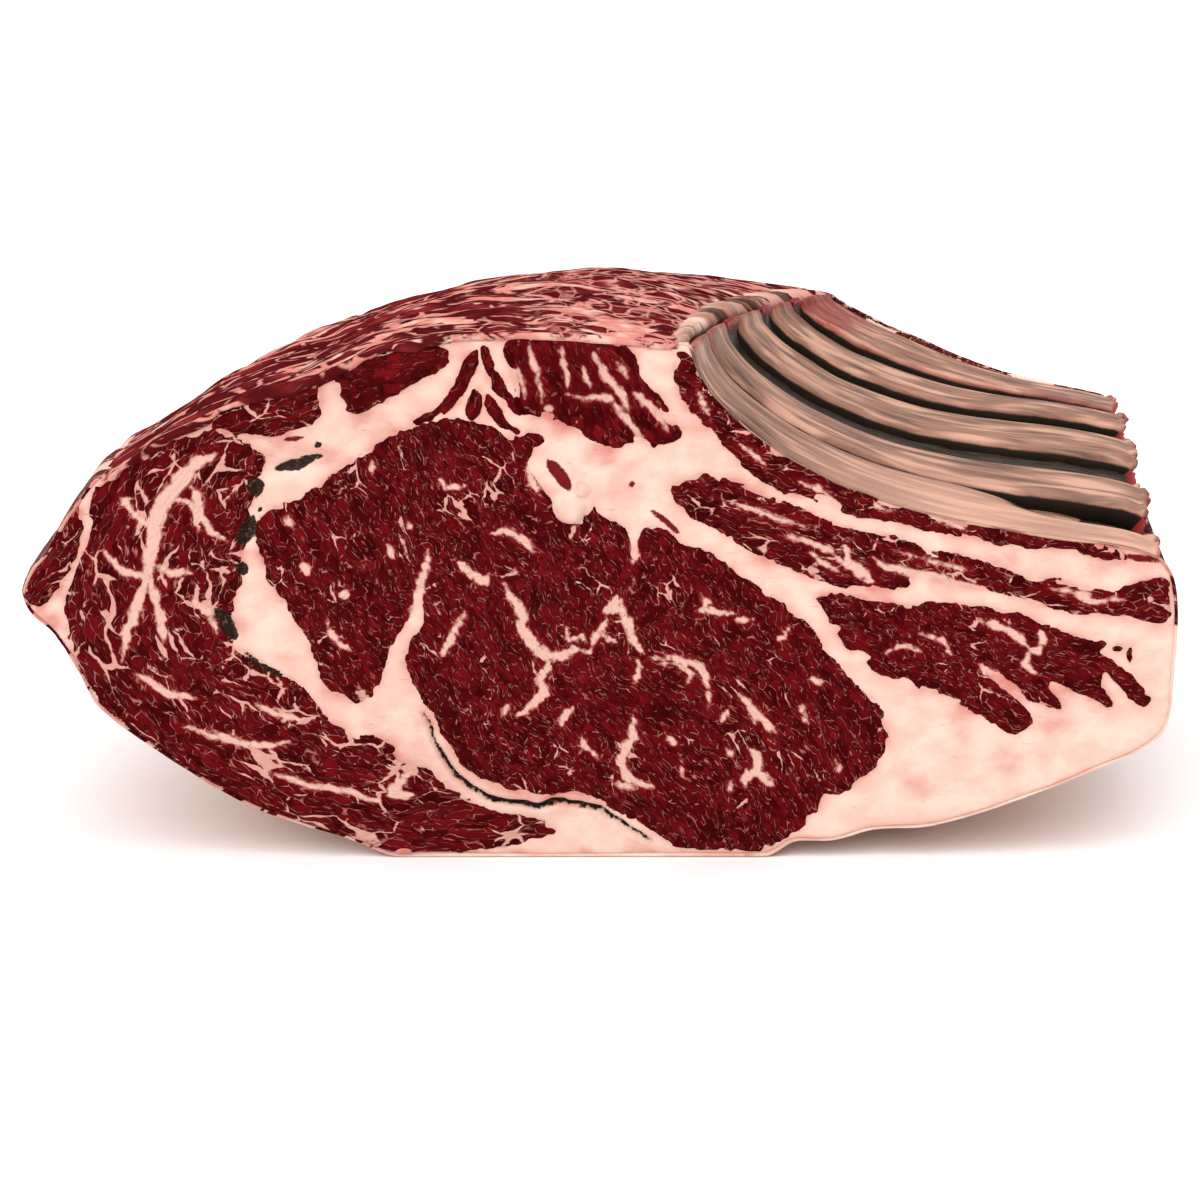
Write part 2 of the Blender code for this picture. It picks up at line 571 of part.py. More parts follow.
def groove_strap(number, front, back, start_share):
    """A dark strap of tissue on the floor between two ribs."""
    sections = []
    middle = 0.5 * (front + back)
    top = STRAP_THICKNESS - RIB_THICKNESS
    shoulder = top - STRAP_CROWN
    profile = (
        (front, -RIB_THICKNESS), (front, shoulder), (middle, top), (back, shoulder), (back, -RIB_THICKNESS),
    )
    for share_along in np.linspace(start_share, STRAP_END, STRAP_STATIONS):
        rows = [rib_point(np.array([share_along]), spot, np.array([height]))[0] for spot, height in profile]
        sections.append(np.array(rows))
    return tube("groove_strap_" + str(number), sections)


def top_layer_outline():
    """The thin lean layer that covers the top, as a closed outline."""
    places = np.linspace(KEY_LEFT_LAYER, KEY_CREST - LAYER_CREST_GAP, LAYER_POINTS)
    x, z = outline_at(places, 0.0)
    reach = np.hypot(x - CENTRE_X, z - CENTRE_Z)
    outer = 1.0 + CUTTER_MARGIN / reach
    inner = 1.0 - LAYER_THICKNESS / reach
    outer_line = np.stack([CENTRE_X + outer * (x - CENTRE_X), CENTRE_Z + outer * (z - CENTRE_Z)], axis=1)
    inner_line = np.stack([CENTRE_X + inner * (x - CENTRE_X), CENTRE_Z + inner * (z - CENTRE_Z)], axis=1)
    return np.vstack([outer_line, inner_line[::-1]])


def layer_column(name, points, extra):
    """The top layer or its grown cutter."""
    first = FRONT_Y + LAYER_STATIONS[0] * DEPTH - extra
    last = FRONT_Y + LAYER_STATIONS[-1] * DEPTH + extra
    return column(name, points, LAYER_STATIONS, first, last)


def strap_loop(line, width):
    """A narrow closed outline on both sides of an open line."""
    points = np.array(line, dtype=float)
    run = np.gradient(points, axis=0)
    run /= np.linalg.norm(run, axis=1)[:, None]
    side = np.stack([-run[:, 1], run[:, 0]], axis=1) * width * 0.5
    return np.vstack([points + side, (points - side)[::-1]])


def spot_loop(spot):
    """The outline of one loose spot of lean."""
    x, z, half_x, half_z = spot
    turn = np.linspace(0.0, 2.0 * math.pi, SPOT_SIDES, endpoint=False)
    return np.stack([x + half_x * np.cos(turn), z + half_z * np.sin(turn)], axis=1)


def material(name, colour, roughness):
    """A plain named material."""
    made = bpy.data.materials.new(name)
    made.use_nodes = True
    shader = made.node_tree.nodes["Principled BSDF"]
    shader.inputs["Base Color"].default_value = (colour[0], colour[1], colour[2], 1.0)
    shader.inputs["Roughness"].default_value = roughness
    return made


def dress(thing, made):
    """Give an object its one material."""
    thing.data.materials.clear()
    thing.data.materials.append(made)
    for face in thing.data.polygons:
        face.material_index = 0
        face.use_smooth = False


def drop(thing):
    """Take a helper solid out of the file."""
    bpy.data.objects.remove(thing, do_unlink=True)


def through_muscles():
    """Names and outlines of the muscles that run from cut to cut."""
    muscles = [
        ("eye_muscle", EYE_MUSCLE), ("cap_muscle", CAP_MUSCLE), ("tip_muscle", TIP_MUSCLE),
        ("shoulder_muscle_1", SHOULDER_MUSCLE_1), ("shoulder_muscle_2", SHOULDER_MUSCLE_2),
        ("seam_sliver_1", SEAM_SLIVER_1), ("seam_sliver_2", SEAM_SLIVER_2),
        ("seam_sliver_3", SEAM_SLIVER_3), ("seam_sliver_4", SEAM_SLIVER_4),
        ("top_muscle", TOP_MUSCLE), ("middle_strip", MIDDLE_STRIP), ("flank_muscle", FLANK_MUSCLE),
    ]
    for number, spot in enumerate(FLANK_SPOTS, start=1):
        muscles.append(("flank_spot_" + str(number), spot_loop(spot)))
    return muscles


def make_strips(form, fat, lean):
    """The rib strip muscle where it shows at each cut."""
    ends = (
        ("rib_strip_front", 0.0, FRONT_Y - CUTTER_MARGIN, FRONT_Y + STRIP_DEPTH),
        ("rib_strip_back", 1.0, BACK_Y - STRIP_DEPTH, BACK_Y + CUTTER_MARGIN),
    )
    for name, share, first_y, last_y in ends:
        piece = copy_of(form, name)
        block = column(name + "_block", RIB_STRIP, (share, share), first_y, last_y)
        combine(piece, block, "INTERSECT")
        drop(block)
        grown = grow(RIB_STRIP, GAP)
        wide_first = first_y if share < 0.5 else first_y - GAP
        wide_last = last_y if share > 0.5 else last_y + GAP
        hollow = column(name + "_hollow", grown, (share, share), wide_first, wide_last)
        combine(fat, hollow, "DIFFERENCE")
        drop(hollow)
        tidy(piece)
        dress(piece, lean)


def make_muscles(form, fat, lean):
    """Every through muscle, and its hollow in the fat."""
    for name, points in through_muscles():
        piece = copy_of(form, name)
        block = through_column(name + "_block", points)
        combine(piece, block, "INTERSECT")
        drop(block)
        hollow = through_column(name + "_hollow", grow(points, GAP))
        combine(fat, hollow, "DIFFERENCE")
        drop(hollow)
        tidy(piece)
        dress(piece, lean)


def make_ribs(fat, bone, dark):
    """The bed, the five ribs and the dark straps between them."""
    bed = rib_bed()
    combine(fat, bed, "DIFFERENCE")
    drop(bed)
    for number, edges in enumerate(RIB_EDGES, start=1):
        dress(rib(number, edges), bone)
    for number in range(1, len(RIB_EDGES)):
        front = RIB_EDGES[number - 1][1] + GAP
        back = RIB_EDGES[number][0] - GAP
        start_share = MEMBRANE_SHARE + STRAP_AFTER_MEMBRANE if number == 1 else STRAP_START
        dress(groove_strap(number, front, back, start_share), dark)


def make_layer(form, fat, lean):
    """The thin lean layer over the top, and its hollow in the fat."""
    loop = top_layer_outline()
    piece = copy_of(form, "top_layer")
    block = layer_column("top_layer_block", loop, 0.0)
    combine(piece, block, "INTERSECT")
    drop(block)
    hollow = layer_column("top_layer_hollow", grow(loop, GAP), GAP)
    combine(fat, hollow, "DIFFERENCE")
    drop(hollow)
    tidy(piece)
    dress(piece, lean)


def cut_crevice(fat):
    """The narrow dark crevice below the eye muscle."""
    loop = strap_loop(CREVICE_LINE, CREVICE_WIDTH)
    slot = column("crevice_slot", loop, (0.0, 0.0), FRONT_Y - CUTTER_MARGIN, FRONT_Y + CREVICE_DEPTH)
    combine(fat, slot, "DIFFERENCE")
    drop(slot)


def build():
    """Make every solid of the roast."""
    clear_scene()
    lean = material("lean_meat", (0.16, 0.008, 0.012), 0.38)
    pale = material("fat_tissue", (0.86, 0.66, 0.54), 0.5)
    bone = material("rib_bone", (0.56, 0.38, 0.27), 0.5)
    dark = material("dark_tissue", (0.03, 0.02, 0.017), 0.45)
    form = whole_form()
    fat = copy_of(form, "fat_body")
    make_layer(form, fat, lean)
    make_muscles(form, fat, lean)
    make_strips(form, fat, lean)
    make_ribs(fat, bone, dark)
    cut_crevice(fat)
    tidy(fat)
    dress(fat, pale)
    drop(form)


build()
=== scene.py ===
"""Visible surfaces and finishes of a raw bone-in beef rib roast.

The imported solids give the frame. Each muscle, the fat, the outside, the top
layer, the ribs and the dark tissue between them are surfaces worked out from
the same outline and the same move through the depth as the solids.
All sizes in the tables are millimetres. X runs along the long side, Y goes
back from the front cut, Z is up.
"""

import math
from types import SimpleNamespace

import bpy
import numpy as np
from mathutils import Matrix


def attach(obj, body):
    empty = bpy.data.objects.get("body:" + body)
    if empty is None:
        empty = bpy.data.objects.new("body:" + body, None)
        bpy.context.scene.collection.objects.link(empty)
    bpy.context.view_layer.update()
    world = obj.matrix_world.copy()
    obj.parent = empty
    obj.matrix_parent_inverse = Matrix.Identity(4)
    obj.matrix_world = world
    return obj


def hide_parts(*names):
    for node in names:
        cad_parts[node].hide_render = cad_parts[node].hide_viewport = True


bl_info = {
    "name": "Beef Rib Roast",
    "version": (1, 0, 0),
    "blender": (4, 5, 0),
    "location": "3D View > Sidebar > Roast",
    "description": "Builds the marbled cuts, fat, ribs and stage of a raw rib roast",
    "category": "Object",
}

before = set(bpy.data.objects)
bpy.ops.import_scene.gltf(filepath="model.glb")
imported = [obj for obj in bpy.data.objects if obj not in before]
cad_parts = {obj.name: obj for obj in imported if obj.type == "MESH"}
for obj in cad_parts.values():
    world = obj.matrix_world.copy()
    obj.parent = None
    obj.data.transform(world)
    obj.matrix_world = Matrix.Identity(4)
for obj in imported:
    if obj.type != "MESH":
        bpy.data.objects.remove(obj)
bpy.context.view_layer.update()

MM = 0.001
FRONT_Y = -90.0
BACK_Y = 90.0
DEPTH = BACK_Y - FRONT_Y
CENTRE_X = 0.0
CENTRE_Z = 75.0
EDGE_ROUND = 3.0

# Sampling: points of the fine outline, steps between the points of a muscle's
# outline, how far off an outline or the rim is still measured, the box kept
# round a line, and the gap that stands for no line near.
FINE_COUNT = 1200
STEPS_BETWEEN = 5
LOOP_REACH = 6.0
RIM_REACH = 8.0
LINE_MARGIN = 5
NO_MARK = 3.0

# Seeds of the relief of the cuts, the step between the seeds of the two cuts,
# and the shift of the pattern at the back cut.
LEAN_SEED = 31.0
FAT_SEED = 61.0
SIDE_SEED = 7.0
BACK_PATTERN = 60.0

# How the pieces of a cut overlap: where a cut begins in from the outline, and
# further in under the top layer, how far the lean grid reaches past its
# outline and the lean past its edge, and how far the fat reaches under it.
RIM_INSET = 0.35
LAYER_INSET = 1.7
LEAN_MARGIN = 2.5
LEAN_SKIRT = 1.1
FAT_UNDERLAP = 2.9
STRIP_DEPTH = 3.6
LEAN_FIELDS = ("vein", "dark", "rich", "fibre")

# The fat core under the skin: how far in, how much further and lower under
# the ribs, and the share of the depth where it starts.
CORE_INSET = 3.8
CORE_SINK = 11.0
CORE_DROP = 12.0
CORE_START = 0.034

# Fibres: how far they bend, and the arcs of the cap about their middle.
FIBRE_BEND = 7.0
CAP_MIDDLE = (-40.0, 85.0)
CAP_STRETCH = 1.25
CAP_RADIUS = 85.0

# The front outline, clockwise from the left tip. Each row: x, z, how far the
# point has moved at the back cut in x and z, how late that move comes, and
# the share of the rise that the rib side has halfway back.
OUTLINE = (
    (-166.0, 80.0, 50.0, -8.0, 2.0, 0.0),
    (-163.0, 86.5, 50.0, -9.0, 2.0, 0.0),
    (-159.0, 91.0, 50.0, -10.0, 2.0, 0.0),
    (-155.0, 98.0, 49.0, -12.0, 2.0, 0.0),
    (-150.0, 106.0, 49.0, -15.0, 2.0, 0.0),
    (-143.5, 114.0, 48.0, -18.0, 2.0, 0.0),
    (-136.0, 118.7, 47.0, -20.0, 2.0, 0.0),
    (-123.5, 126.5, 42.0, -19.0, 2.0, 0.0),
    (-113.0, 132.3, 36.0, -16.0, 2.0, 0.0),
    (-100.0, 137.6, 28.0, -15.0, 2.0, 0.0),
    (-91.0, 140.2, 22.0, -16.0, 2.0, 0.0),
    (-84.0, 142.7, 20.0, -18.0, 2.0, 0.0),
    (-76.0, 146.5, 18.0, -20.0, 2.0, 0.0),
    (-62.0, 152.3, 17.0, -25.0, 2.1, 0.0),
    (-44.0, 155.5, 18.0, -25.0, 2.4, 0.0),
    (-28.0, 156.5, 20.0, -23.0, 2.7, 0.0),
    (-8.0, 156.3, 24.0, -21.0, 3.0, 0.0),
    (8.0, 154.8, 30.0, -20.0, 2.6, 0.0),
    (18.0, 153.6, 38.0, -21.0, 2.0, 0.0),
    (25.7, 153.0, 47.0, -23.0, 1.4, 0.0),
    (28.8, 145.0, 47.7, -17.4, 1.35, 0.0),
    (33.0, 138.2, 47.5, -13.0, 1.3, 0.0),
    (39.5, 131.6, 45.5, -8.8, 1.25, 0.02),
    (50.0, 123.2, 41.0, -3.4, 1.2, 0.05),
    (60.0, 117.2, 37.5, -0.2, 1.15, 0.12),
    (72.0, 111.4, 33.0, 2.2, 1.1, 0.22),
    (85.0, 106.6, 28.0, 3.4, 1.05, 0.38),
    (100.0, 102.4, 22.0, 4.0, 1.0, 0.6),
    (115.0, 99.3, 16.0, 4.1, 1.0, 0.82),
    (127.0, 97.4, 11.5, 4.0, 1.0, 0.95),
    (140.0, 95.6, 7.0, 3.9, 1.0, 1.0),
    (151.0, 93.8, 4.0, 4.0, 1.0, 1.0),
    (159.0, 91.0, 2.0, 5.0, 1.0, 1.0),
    (163.0, 87.5, 0.0, 4.0, 1.0, 0.8),
    (165.2, 82.0, -1.0, 3.0, 1.0, 0.4),
    (166.0, 75.0, -2.0, 2.0, 1.0, 0.0),
    (166.0, 66.0, -2.0, 2.0, 1.0, 0.0),
    (165.5, 55.0, -2.0, 1.0, 1.0, 0.0),
    (165.0, 45.0, -2.0, 1.0, 1.0, 0.0),
    (163.0, 38.0, -2.0, 1.0, 1.0, 0.0),
    (156.0, 32.0, -2.0, 1.0, 1.0, 0.0),
    (145.0, 27.0, -1.0, 1.0, 1.0, 0.0),
    (129.0, 20.0, -1.0, 0.5, 1.0, 0.0),
    (110.0, 13.0, 0.0, 0.0, 1.0, 0.0),
    (95.0, 9.0, 0.0, 0.0, 1.0, 0.0),
    (80.0, 8.2, 0.0, 0.0, 1.0, 0.0),
    (68.0, 5.0, 0.0, 0.0, 1.0, 0.0),
    (57.0, 4.6, 0.0, 0.0, 1.0, 0.0),
    (51.0, 1.2, 0.0, 0.0, 1.0, 0.0),
    (46.0, 0.0, 0.0, 0.0, 1.0, 0.0),
    (20.0, 0.0, 0.0, 0.0, 1.0, 0.0),
    (-10.0, 0.0, 0.0, 0.0, 2.0, 0.0),
    (-40.0, 0.0, 8.0, 0.0, 2.0, 0.0),
    (-58.0, 0.0, 14.0, 0.0, 2.0, 0.0),
    (-64.0, 1.5, 16.0, 0.0, 2.0, 0.0),
    (-75.0, 6.0, 19.0, 0.0, 2.0, 0.0),
    (-90.0, 10.5, 24.0, -1.0, 2.0, 0.0),
    (-105.0, 17.0, 29.0, -1.0, 2.0, 0.0),
    (-120.0, 26.3, 35.0, -2.0, 2.0, 0.0),
    (-135.0, 37.0, 41.0, -3.0, 2.0, 0.0),
    (-145.5, 46.0, 45.0, -4.0, 2.0, 0.0),
    (-150.0, 55.0, 46.0, -5.0, 2.0, 0.0),
    (-157.0, 67.0, 48.0, -6.0, 2.0, 0.0),
    (-163.5, 73.5, 50.0, -7.0, 2.0, 0.0),
)
ROWS = float(len(OUTLINE))
KEY_LEFT_LAYER = 5
KEY_CREST = 19
KEY_RIB_END = 32
RIB_SIDE_RISE = 7.0

OUTLINES = {
    "eye_muscle": (
        (-98, 96), (-97.5, 101), (-94, 104), (-88, 107), (-83, 109), (-76, 115), (-70, 119),
        (-60, 125.5), (-50, 130), (-40, 131), (-32, 129), (-24, 125.5), (-20, 127), (-16.5, 125),
        (-20, 120), (-20.5, 116.5), (-18, 113), (-15, 110), (-12, 103), (-9, 100), (-5, 99.5),
        (-2, 105.5), (0, 103), (6, 99.5), (8.5, 94), (9.5, 90.5), (10.5, 92), (12, 98),
        (15, 99.5), (19, 98), (24, 94.5), (30, 91.5), (38, 87), (45.6, 81), (50, 78.5),
        (56, 74), (60, 70), (64, 63.5), (69, 57.5), (75, 51), (80, 46.5), (82, 42), (83, 36),
        (82, 32), (79, 27), (76, 24.5), (72, 21.5), (68, 19), (65, 19), (62, 13.5), (58, 9.5),
        (54, 6.2), (50, 3.6), (46, 2.0), (40, 2.0), (30, 2.5), (22, 3), (19, 5), (15, 8),
        (10, 11.5), (5, 14.5), (0, 17), (-5, 18.8), (-10, 20), (-15, 18.7), (-20, 19.3),
        (-28, 21), (-35, 24.5), (-41, 29.5), (-44.5, 36), (-47.5, 41.5), (-52, 48),
        (-55.5, 56.5), (-54, 65.5), (-51, 70), (-50.5, 76), (-51.5, 80), (-53, 77), (-57, 69),
        (-60, 64), (-62.5, 55), (-65.5, 49), (-70, 47), (-77, 50.5), (-80.5, 55), (-84, 65),
        (-89.5, 75), (-94.5, 83),
    ),
    "cap_muscle": (
        (-106, 126.5), (-113, 127.2), (-121, 125.2), (-130, 121.6), (-139, 115), (-144.5, 108),
        (-145.4, 100), (-147.8, 91), (-150.4, 83.5), (-153.4, 77), (-153.6, 70), (-150.8, 61),
        (-147, 52.4), (-142.6, 45.2), (-135.4, 39), (-128.6, 33.8), (-119.6, 27.4), (-109.4, 20.6),
        (-99.2, 14.8), (-88.6, 9.8), (-78.3, 6.0), (-68, 3.0), (-60, 1.4), (-50, 1.4), (-40, 1.6), (-30, 3.0),
        (-20, 6), (-13, 8.5), (-20, 11.8), (-28, 13.4), (-35, 16), (-41, 19.5), (-45.5, 23),
        (-50, 27), (-57, 29), (-60, 34), (-65, 36.5), (-70, 37), (-75, 40), (-80, 44),
        (-85, 51.5), (-91, 55), (-100, 60), (-104.5, 64), (-106, 70), (-104, 78), (-102, 90),
        (-101, 97), (-100, 103), (-98, 110), (-95.5, 120),
    ),
    "tip_muscle": (
        (-149.6, 107), (-147.4, 99.5), (-149.4, 90.6), (-152.0, 84.6), (-156.6, 78.4), (-162, 75.6),
        (-164.6, 79), (-163, 84.6), (-158.6, 90.6), (-154.4, 97.6), (-151.6, 103.4),
    ),
    "shoulder_muscle_1": (
        (-111, 130.3), (-104, 133.5), (-98, 135.6), (-88, 138.8), (-80.5, 141.3), (-79, 134),
        (-81, 129), (-86, 127.5), (-94, 125.5), (-102, 126.8), (-108, 127.6),
    ),
    "shoulder_muscle_2": (
        (-74.5, 144.4), (-70, 146.6), (-63, 149), (-55, 151.6), (-48, 153), (-42.5, 150.4),
        (-44, 146), (-49, 143), (-55, 139.5), (-62, 135.5), (-70, 132.5), (-73, 137),
    ),
    "seam_sliver_1": (
        (-53.3, 129.8), (-50.4, 132.4), (-44.6, 135.4), (-42.2, 140), (-39.8, 145.4),
        (-37.2, 149.8), (-34.4, 150.4), (-34, 146), (-36.9, 140.6), (-39.8, 135.8),
        (-43.7, 132.6), (-48.5, 130.2),
    ),
    "seam_sliver_2": (
        (-33.6, 151.4), (-31.6, 151.8), (-30.2, 147), (-28.2, 142.5), (-24.4, 136),
        (-22.4, 132.4), (-25, 132.2), (-28.6, 137.2), (-31.4, 142), (-32.8, 146),
    ),
    "seam_sliver_3": (
        (-36.3, 139.2), (-33.8, 139.6), (-33.5, 134), (-34.8, 130.9), (-37.4, 131), (-37.9, 134.5),
    ),
    "seam_sliver_4": (
        (-32.5, 137.6), (-30.6, 137), (-26.2, 131), (-23.2, 127.6), (-24.4, 126.4), (-28.5, 129.2),
        (-32, 133),
    ),
    "top_muscle": (
        (-27, 151.3), (-25, 154.2), (-15, 154.6), (-4, 154.2), (5, 152.4), (10, 149.4),
        (12.6, 142), (17, 137.5), (19.5, 132), (23.5, 127.5), (22.5, 125.5), (19, 124),
        (15, 122.5), (10, 124), (5, 122), (0, 123.5), (-5, 126), (-10, 129), (-15, 131),
        (-20, 131.5), (-23.3, 133), (-24.3, 138), (-25.3, 145),
    ),
    "middle_strip": (
        (20, 110), (22, 112), (30, 114.5), (34, 112.5), (36, 113.3), (45, 109), (56, 105),
        (65, 101), (75, 98), (80, 97), (90, 94.5), (95, 92), (110, 89.6), (113, 88),
        (118, 86.3), (124, 84), (130, 84.3), (138, 82), (143, 80.5), (148, 80.5), (152, 82),
        (157, 83.8), (161, 84.2), (163, 82), (163.6, 76), (163, 71.5), (160, 69.8),
        (156, 70.5), (150, 72), (142, 73.3), (136, 73), (131, 74.5), (127, 76), (120, 77.7),
        (113, 80), (108, 80.7), (100, 82), (91, 84), (88, 81.6), (80, 81.2), (70, 81.4),
        (65, 82.4), (62, 83.4), (58, 85), (52, 88), (45, 91), (35, 97.5), (28, 101),
        (24, 104), (21, 107.5),
    ),
    "flank_muscle": (
        (62, 78), (65, 79.3), (70, 79.3), (75, 78), (80, 77), (88, 76.5), (95, 77),
        (105, 76.2), (112, 75.2), (120, 73.2), (126, 71), (130, 69.5), (137, 67), (141, 65.5),
        (145, 64.8), (144.6, 62.8), (146.5, 60), (150, 57.5), (153, 55), (156, 52),
        (158.5, 49), (158.5, 47), (156, 46.5), (152, 49), (149, 52.5), (145, 55.5),
        (145, 51), (147.5, 48), (147, 45.7), (144, 47), (138, 50), (133, 52), (129, 54),
        (130, 50), (132.5, 47), (133, 44.8), (130.5, 44.6), (127, 46.7), (121.5, 49.5),
        (114, 54.8), (118, 50.8), (121, 47.5), (124, 43), (124, 40.5), (121, 38), (117, 38),
        (112, 41), (106, 45), (103.5, 46), (104.5, 48), (96, 50), (91, 51.5), (88.5, 54),
        (82, 55), (79, 56), (77, 58.5), (77, 61), (74, 63), (72, 62), (69.5, 64), (68, 67.5),
        (68.3, 70), (65.5, 71.5), (63.3, 75),
    ),
    "flank_spot_1": ((150.5, 63.2), (148.6, 64.5), (146.7, 63.2), (148.6, 61.9)),
    "flank_spot_2": ((153.5, 61.2), (152.2, 63.4), (150.9, 61.2), (152.2, 59.0)),
}
RIB_STRIP = (
    (22, 150), (26.6, 148.5), (28.4, 143.5), (32.2, 137.6), (38.6, 131), (43.5, 127.2),
    (50, 122.4), (60, 116.3), (72, 110.6), (85, 105.8), (100, 101.6), (115, 98.5),
    (127, 96.6), (140, 94.8), (150, 91.4), (150, 88.9), (140, 90.6), (130, 92.6),
    (124, 92), (115, 94), (106, 95.6), (98, 96.8), (90, 99), (80, 101), (75, 101.5),
    (70, 103), (65, 106.5), (55, 108.3), (48, 111.5), (40, 117.5), (33, 126), (26, 133),
    (22.5, 139), (21, 143.5),
)

# Cream veins and fat inlets in each muscle: width, then points along the line.
VEINS = {
    "eye_muscle": (
        (3.0, (-28, 83), (-26, 80), (-24, 76), (-22, 73), (-22.5, 70), (-20, 66), (-17, 62.5),
         (-14, 61), (-10, 61), (-7, 62.5), (-3, 62)),
        (2.2, (-40.5, 89), (-37, 85.5), (-33, 82.8), (-31, 86)),
        (1.8, (-31, 97.5), (-27, 98), (-22, 96), (-17.5, 91.5)),
        (2.4, (-38.5, 75), (-41.5, 69), (-43, 66), (-46, 61)),
        (1.8, (-78.5, 71), (-75, 65), (-71.5, 62.5)),
        (2.6, (-14, 61), (-15, 57), (-17, 54), (-16, 50), (-19, 47), (-22, 44.5), (-24, 43.5)),
        (1.6, (-26, 47), (-28, 43)),
        (1.6, (-8, 46), (-10, 44), (-11, 40)),
        (1.3, (-6, 34), (-4, 34), (0, 31)),
        (1.3, (-4, 34), (-5, 37)),
        (1.2, (11, 60), (11, 55), (10, 52)),
        (2.8, (10, 45), (10, 40), (9, 37), (7.5, 33), (6, 29), (7, 26.5), (9, 24), (12, 22), (15, 22)),
        (1.6, (10, 21), (5, 23)),
        (3.2, (5, 79), (4, 76), (1, 74.5)),
        (2.4, (6, 79), (7, 72), (8.5, 69), (10, 65), (13, 62)),
        (1.6, (2, 73), (0, 69), (-2, 65), (-3, 62)),
        (1.4, (-10, 70), (-9, 66), (-5, 67), (-3, 64)),
        (1.3, (0, 70), (3, 66), (5, 65)),
        (2.0, (14, 60.5), (20, 60.5), (25, 59.5), (29, 58), (31, 54), (31.5, 51), (31, 46)),
        (1.2, (17, 59), (22, 59), (24, 57), (27, 56), (25, 53)),
        (1.8, (29, 80), (31, 77), (29, 75), (34, 74), (39, 74)),
        (1.6, (38, 72), (43, 72)),
        (2.5, (40, 50), (43, 46), (45, 43), (47, 42), (49, 40), (51, 38)),
        (3.0, (43, 33), (45, 31), (45, 27), (42, 24), (42, 22)),
        (2.0, (45, 27), (48, 24), (50, 22)),
        (1.4, (19, 37), (22, 34)),
        (1.4, (23, 28), (24, 25)),
        (1.4, (37, 46), (35, 41)),
        (1.4, (36, 34), (38, 31)),
        (1.4, (38, 23), (37, 20)),
        (1.4, (60, 54), (64, 53)),
        (1.4, (58, 46), (60, 41)),
        (1.4, (68, 30), (69, 26)),
        (1.8, (51, 65), (54, 69)),
        (2.6, (-49, 93), (-51, 84), (-52, 78), (-54, 71), (-57, 66)),
        (1.8, (-21, 118), (-19, 113), (-17.5, 108.5)),
        (1.6, (-46, 113), (-44, 110.5), (-39, 111)),
        (2.2, (9.8, 88), (10.4, 96)),
        (1.8, (-89, 103), (-88, 99)),
        (2.4, (-85, 89), (-84, 85.5)),
        (2.2, (-75, 79.5), (-71, 79)),
        (2.0, (-60.5, 94), (-59, 90.5)),
        (1.8, (-65, 118.5), (-64.4, 115)),
        (1.8, (-55, 101), (-53.5, 98.5)),
    ),
    "cap_muscle": (
        (4.6, (-108, 121), (-115, 118), (-120, 113), (-124, 107), (-127, 100), (-128.5, 92), (-130, 82)),
        (3.4, (-116, 112), (-114, 105), (-115, 99)),
        (3.0, (-129, 86), (-132, 76), (-135, 70), (-137, 60)),
        (2.4, (-129, 86), (-126, 74), (-125, 64)),
        (1.8, (-137, 108), (-133, 103), (-128, 98)),
        (2.0, (-128, 88), (-122, 85.5), (-117, 86)),
        (2.0, (-121, 108), (-114, 104), (-111, 98), (-106, 95)),
        (3.0, (-55, 26), (-60, 20), (-54, 19)),
        (2.2, (-141, 92), (-136, 86), (-130, 84)),
        (2.0, (-117, 78), (-112, 74), (-110, 68)),
        (2.2, (-134, 56), (-124, 50), (-116, 48)),
        (2.0, (-120, 40), (-108, 36), (-98, 34), (-90, 35)),
        (1.8, (-100, 47), (-92, 43), (-84, 42)),
        (1.8, (-98, 27), (-84, 22), (-72, 20), (-64, 17)),
    ),
    "top_muscle": (
        (1.7, (-20, 152), (-18, 145), (-16, 136)),
        (1.8, (-11, 152), (-10, 146), (-9, 141)),
        (2.2, (-2, 150), (2, 143), (6, 138), (8, 133)),
        (1.8, (-9, 138), (3, 137), (8, 130), (13, 124)),
        (2.2, (9, 139), (14, 135), (18, 130), (19, 127)),
        (2.0, (-15, 135), (-13.6, 133)),
        (1.5, (-23, 146), (-21.5, 136)),
        (1.4, (-5, 146), (-2, 139)),
        (1.4, (4, 148), (8, 143)),
    ),
    "middle_strip": (
        (3.0, (70, 94), (71, 89), (74, 86), (78, 83)),
        (2.6, (78, 90), (82, 87), (88, 86), (95, 85), (100, 83), (110, 81)),
        (1.6, (52, 97), (58, 95), (65, 93), (70, 88)),
        (1.4, (60, 92), (68, 86)),
        (2.0, (128, 81), (133, 80.5), (138, 79), (142, 77.5), (150, 78)),
        (1.4, (38, 106), (48, 103), (58, 99.5)),
        (1.2, (84, 92), (96, 88.5), (106, 86)),
    ),
    "flank_muscle": (
        (2.6, (108, 72), (112, 71), (116, 69), (119, 67), (121, 65), (123, 63)),
        (2.0, (123, 63), (126, 63), (127, 66), (126, 69)),
        (1.8, (123, 62), (122, 58), (125, 56)),
        (2.6, (109, 59), (115, 54), (121, 49)),
        (1.2, (82, 62), (87, 64), (92, 62)),
        (1.2, (92, 68), (98, 66), (101, 61)),
    ),
    "rib_strip": (
        (1.6, (57, 112.5), (62, 110.5), (68, 106)),
        (1.4, (78, 106), (84, 103.5)),
        (1.4, (96, 101), (104, 98.5)),
        (1.3, (40, 124), (47, 117)),
        (1.5, (28, 140), (31, 131)),
    ),
}

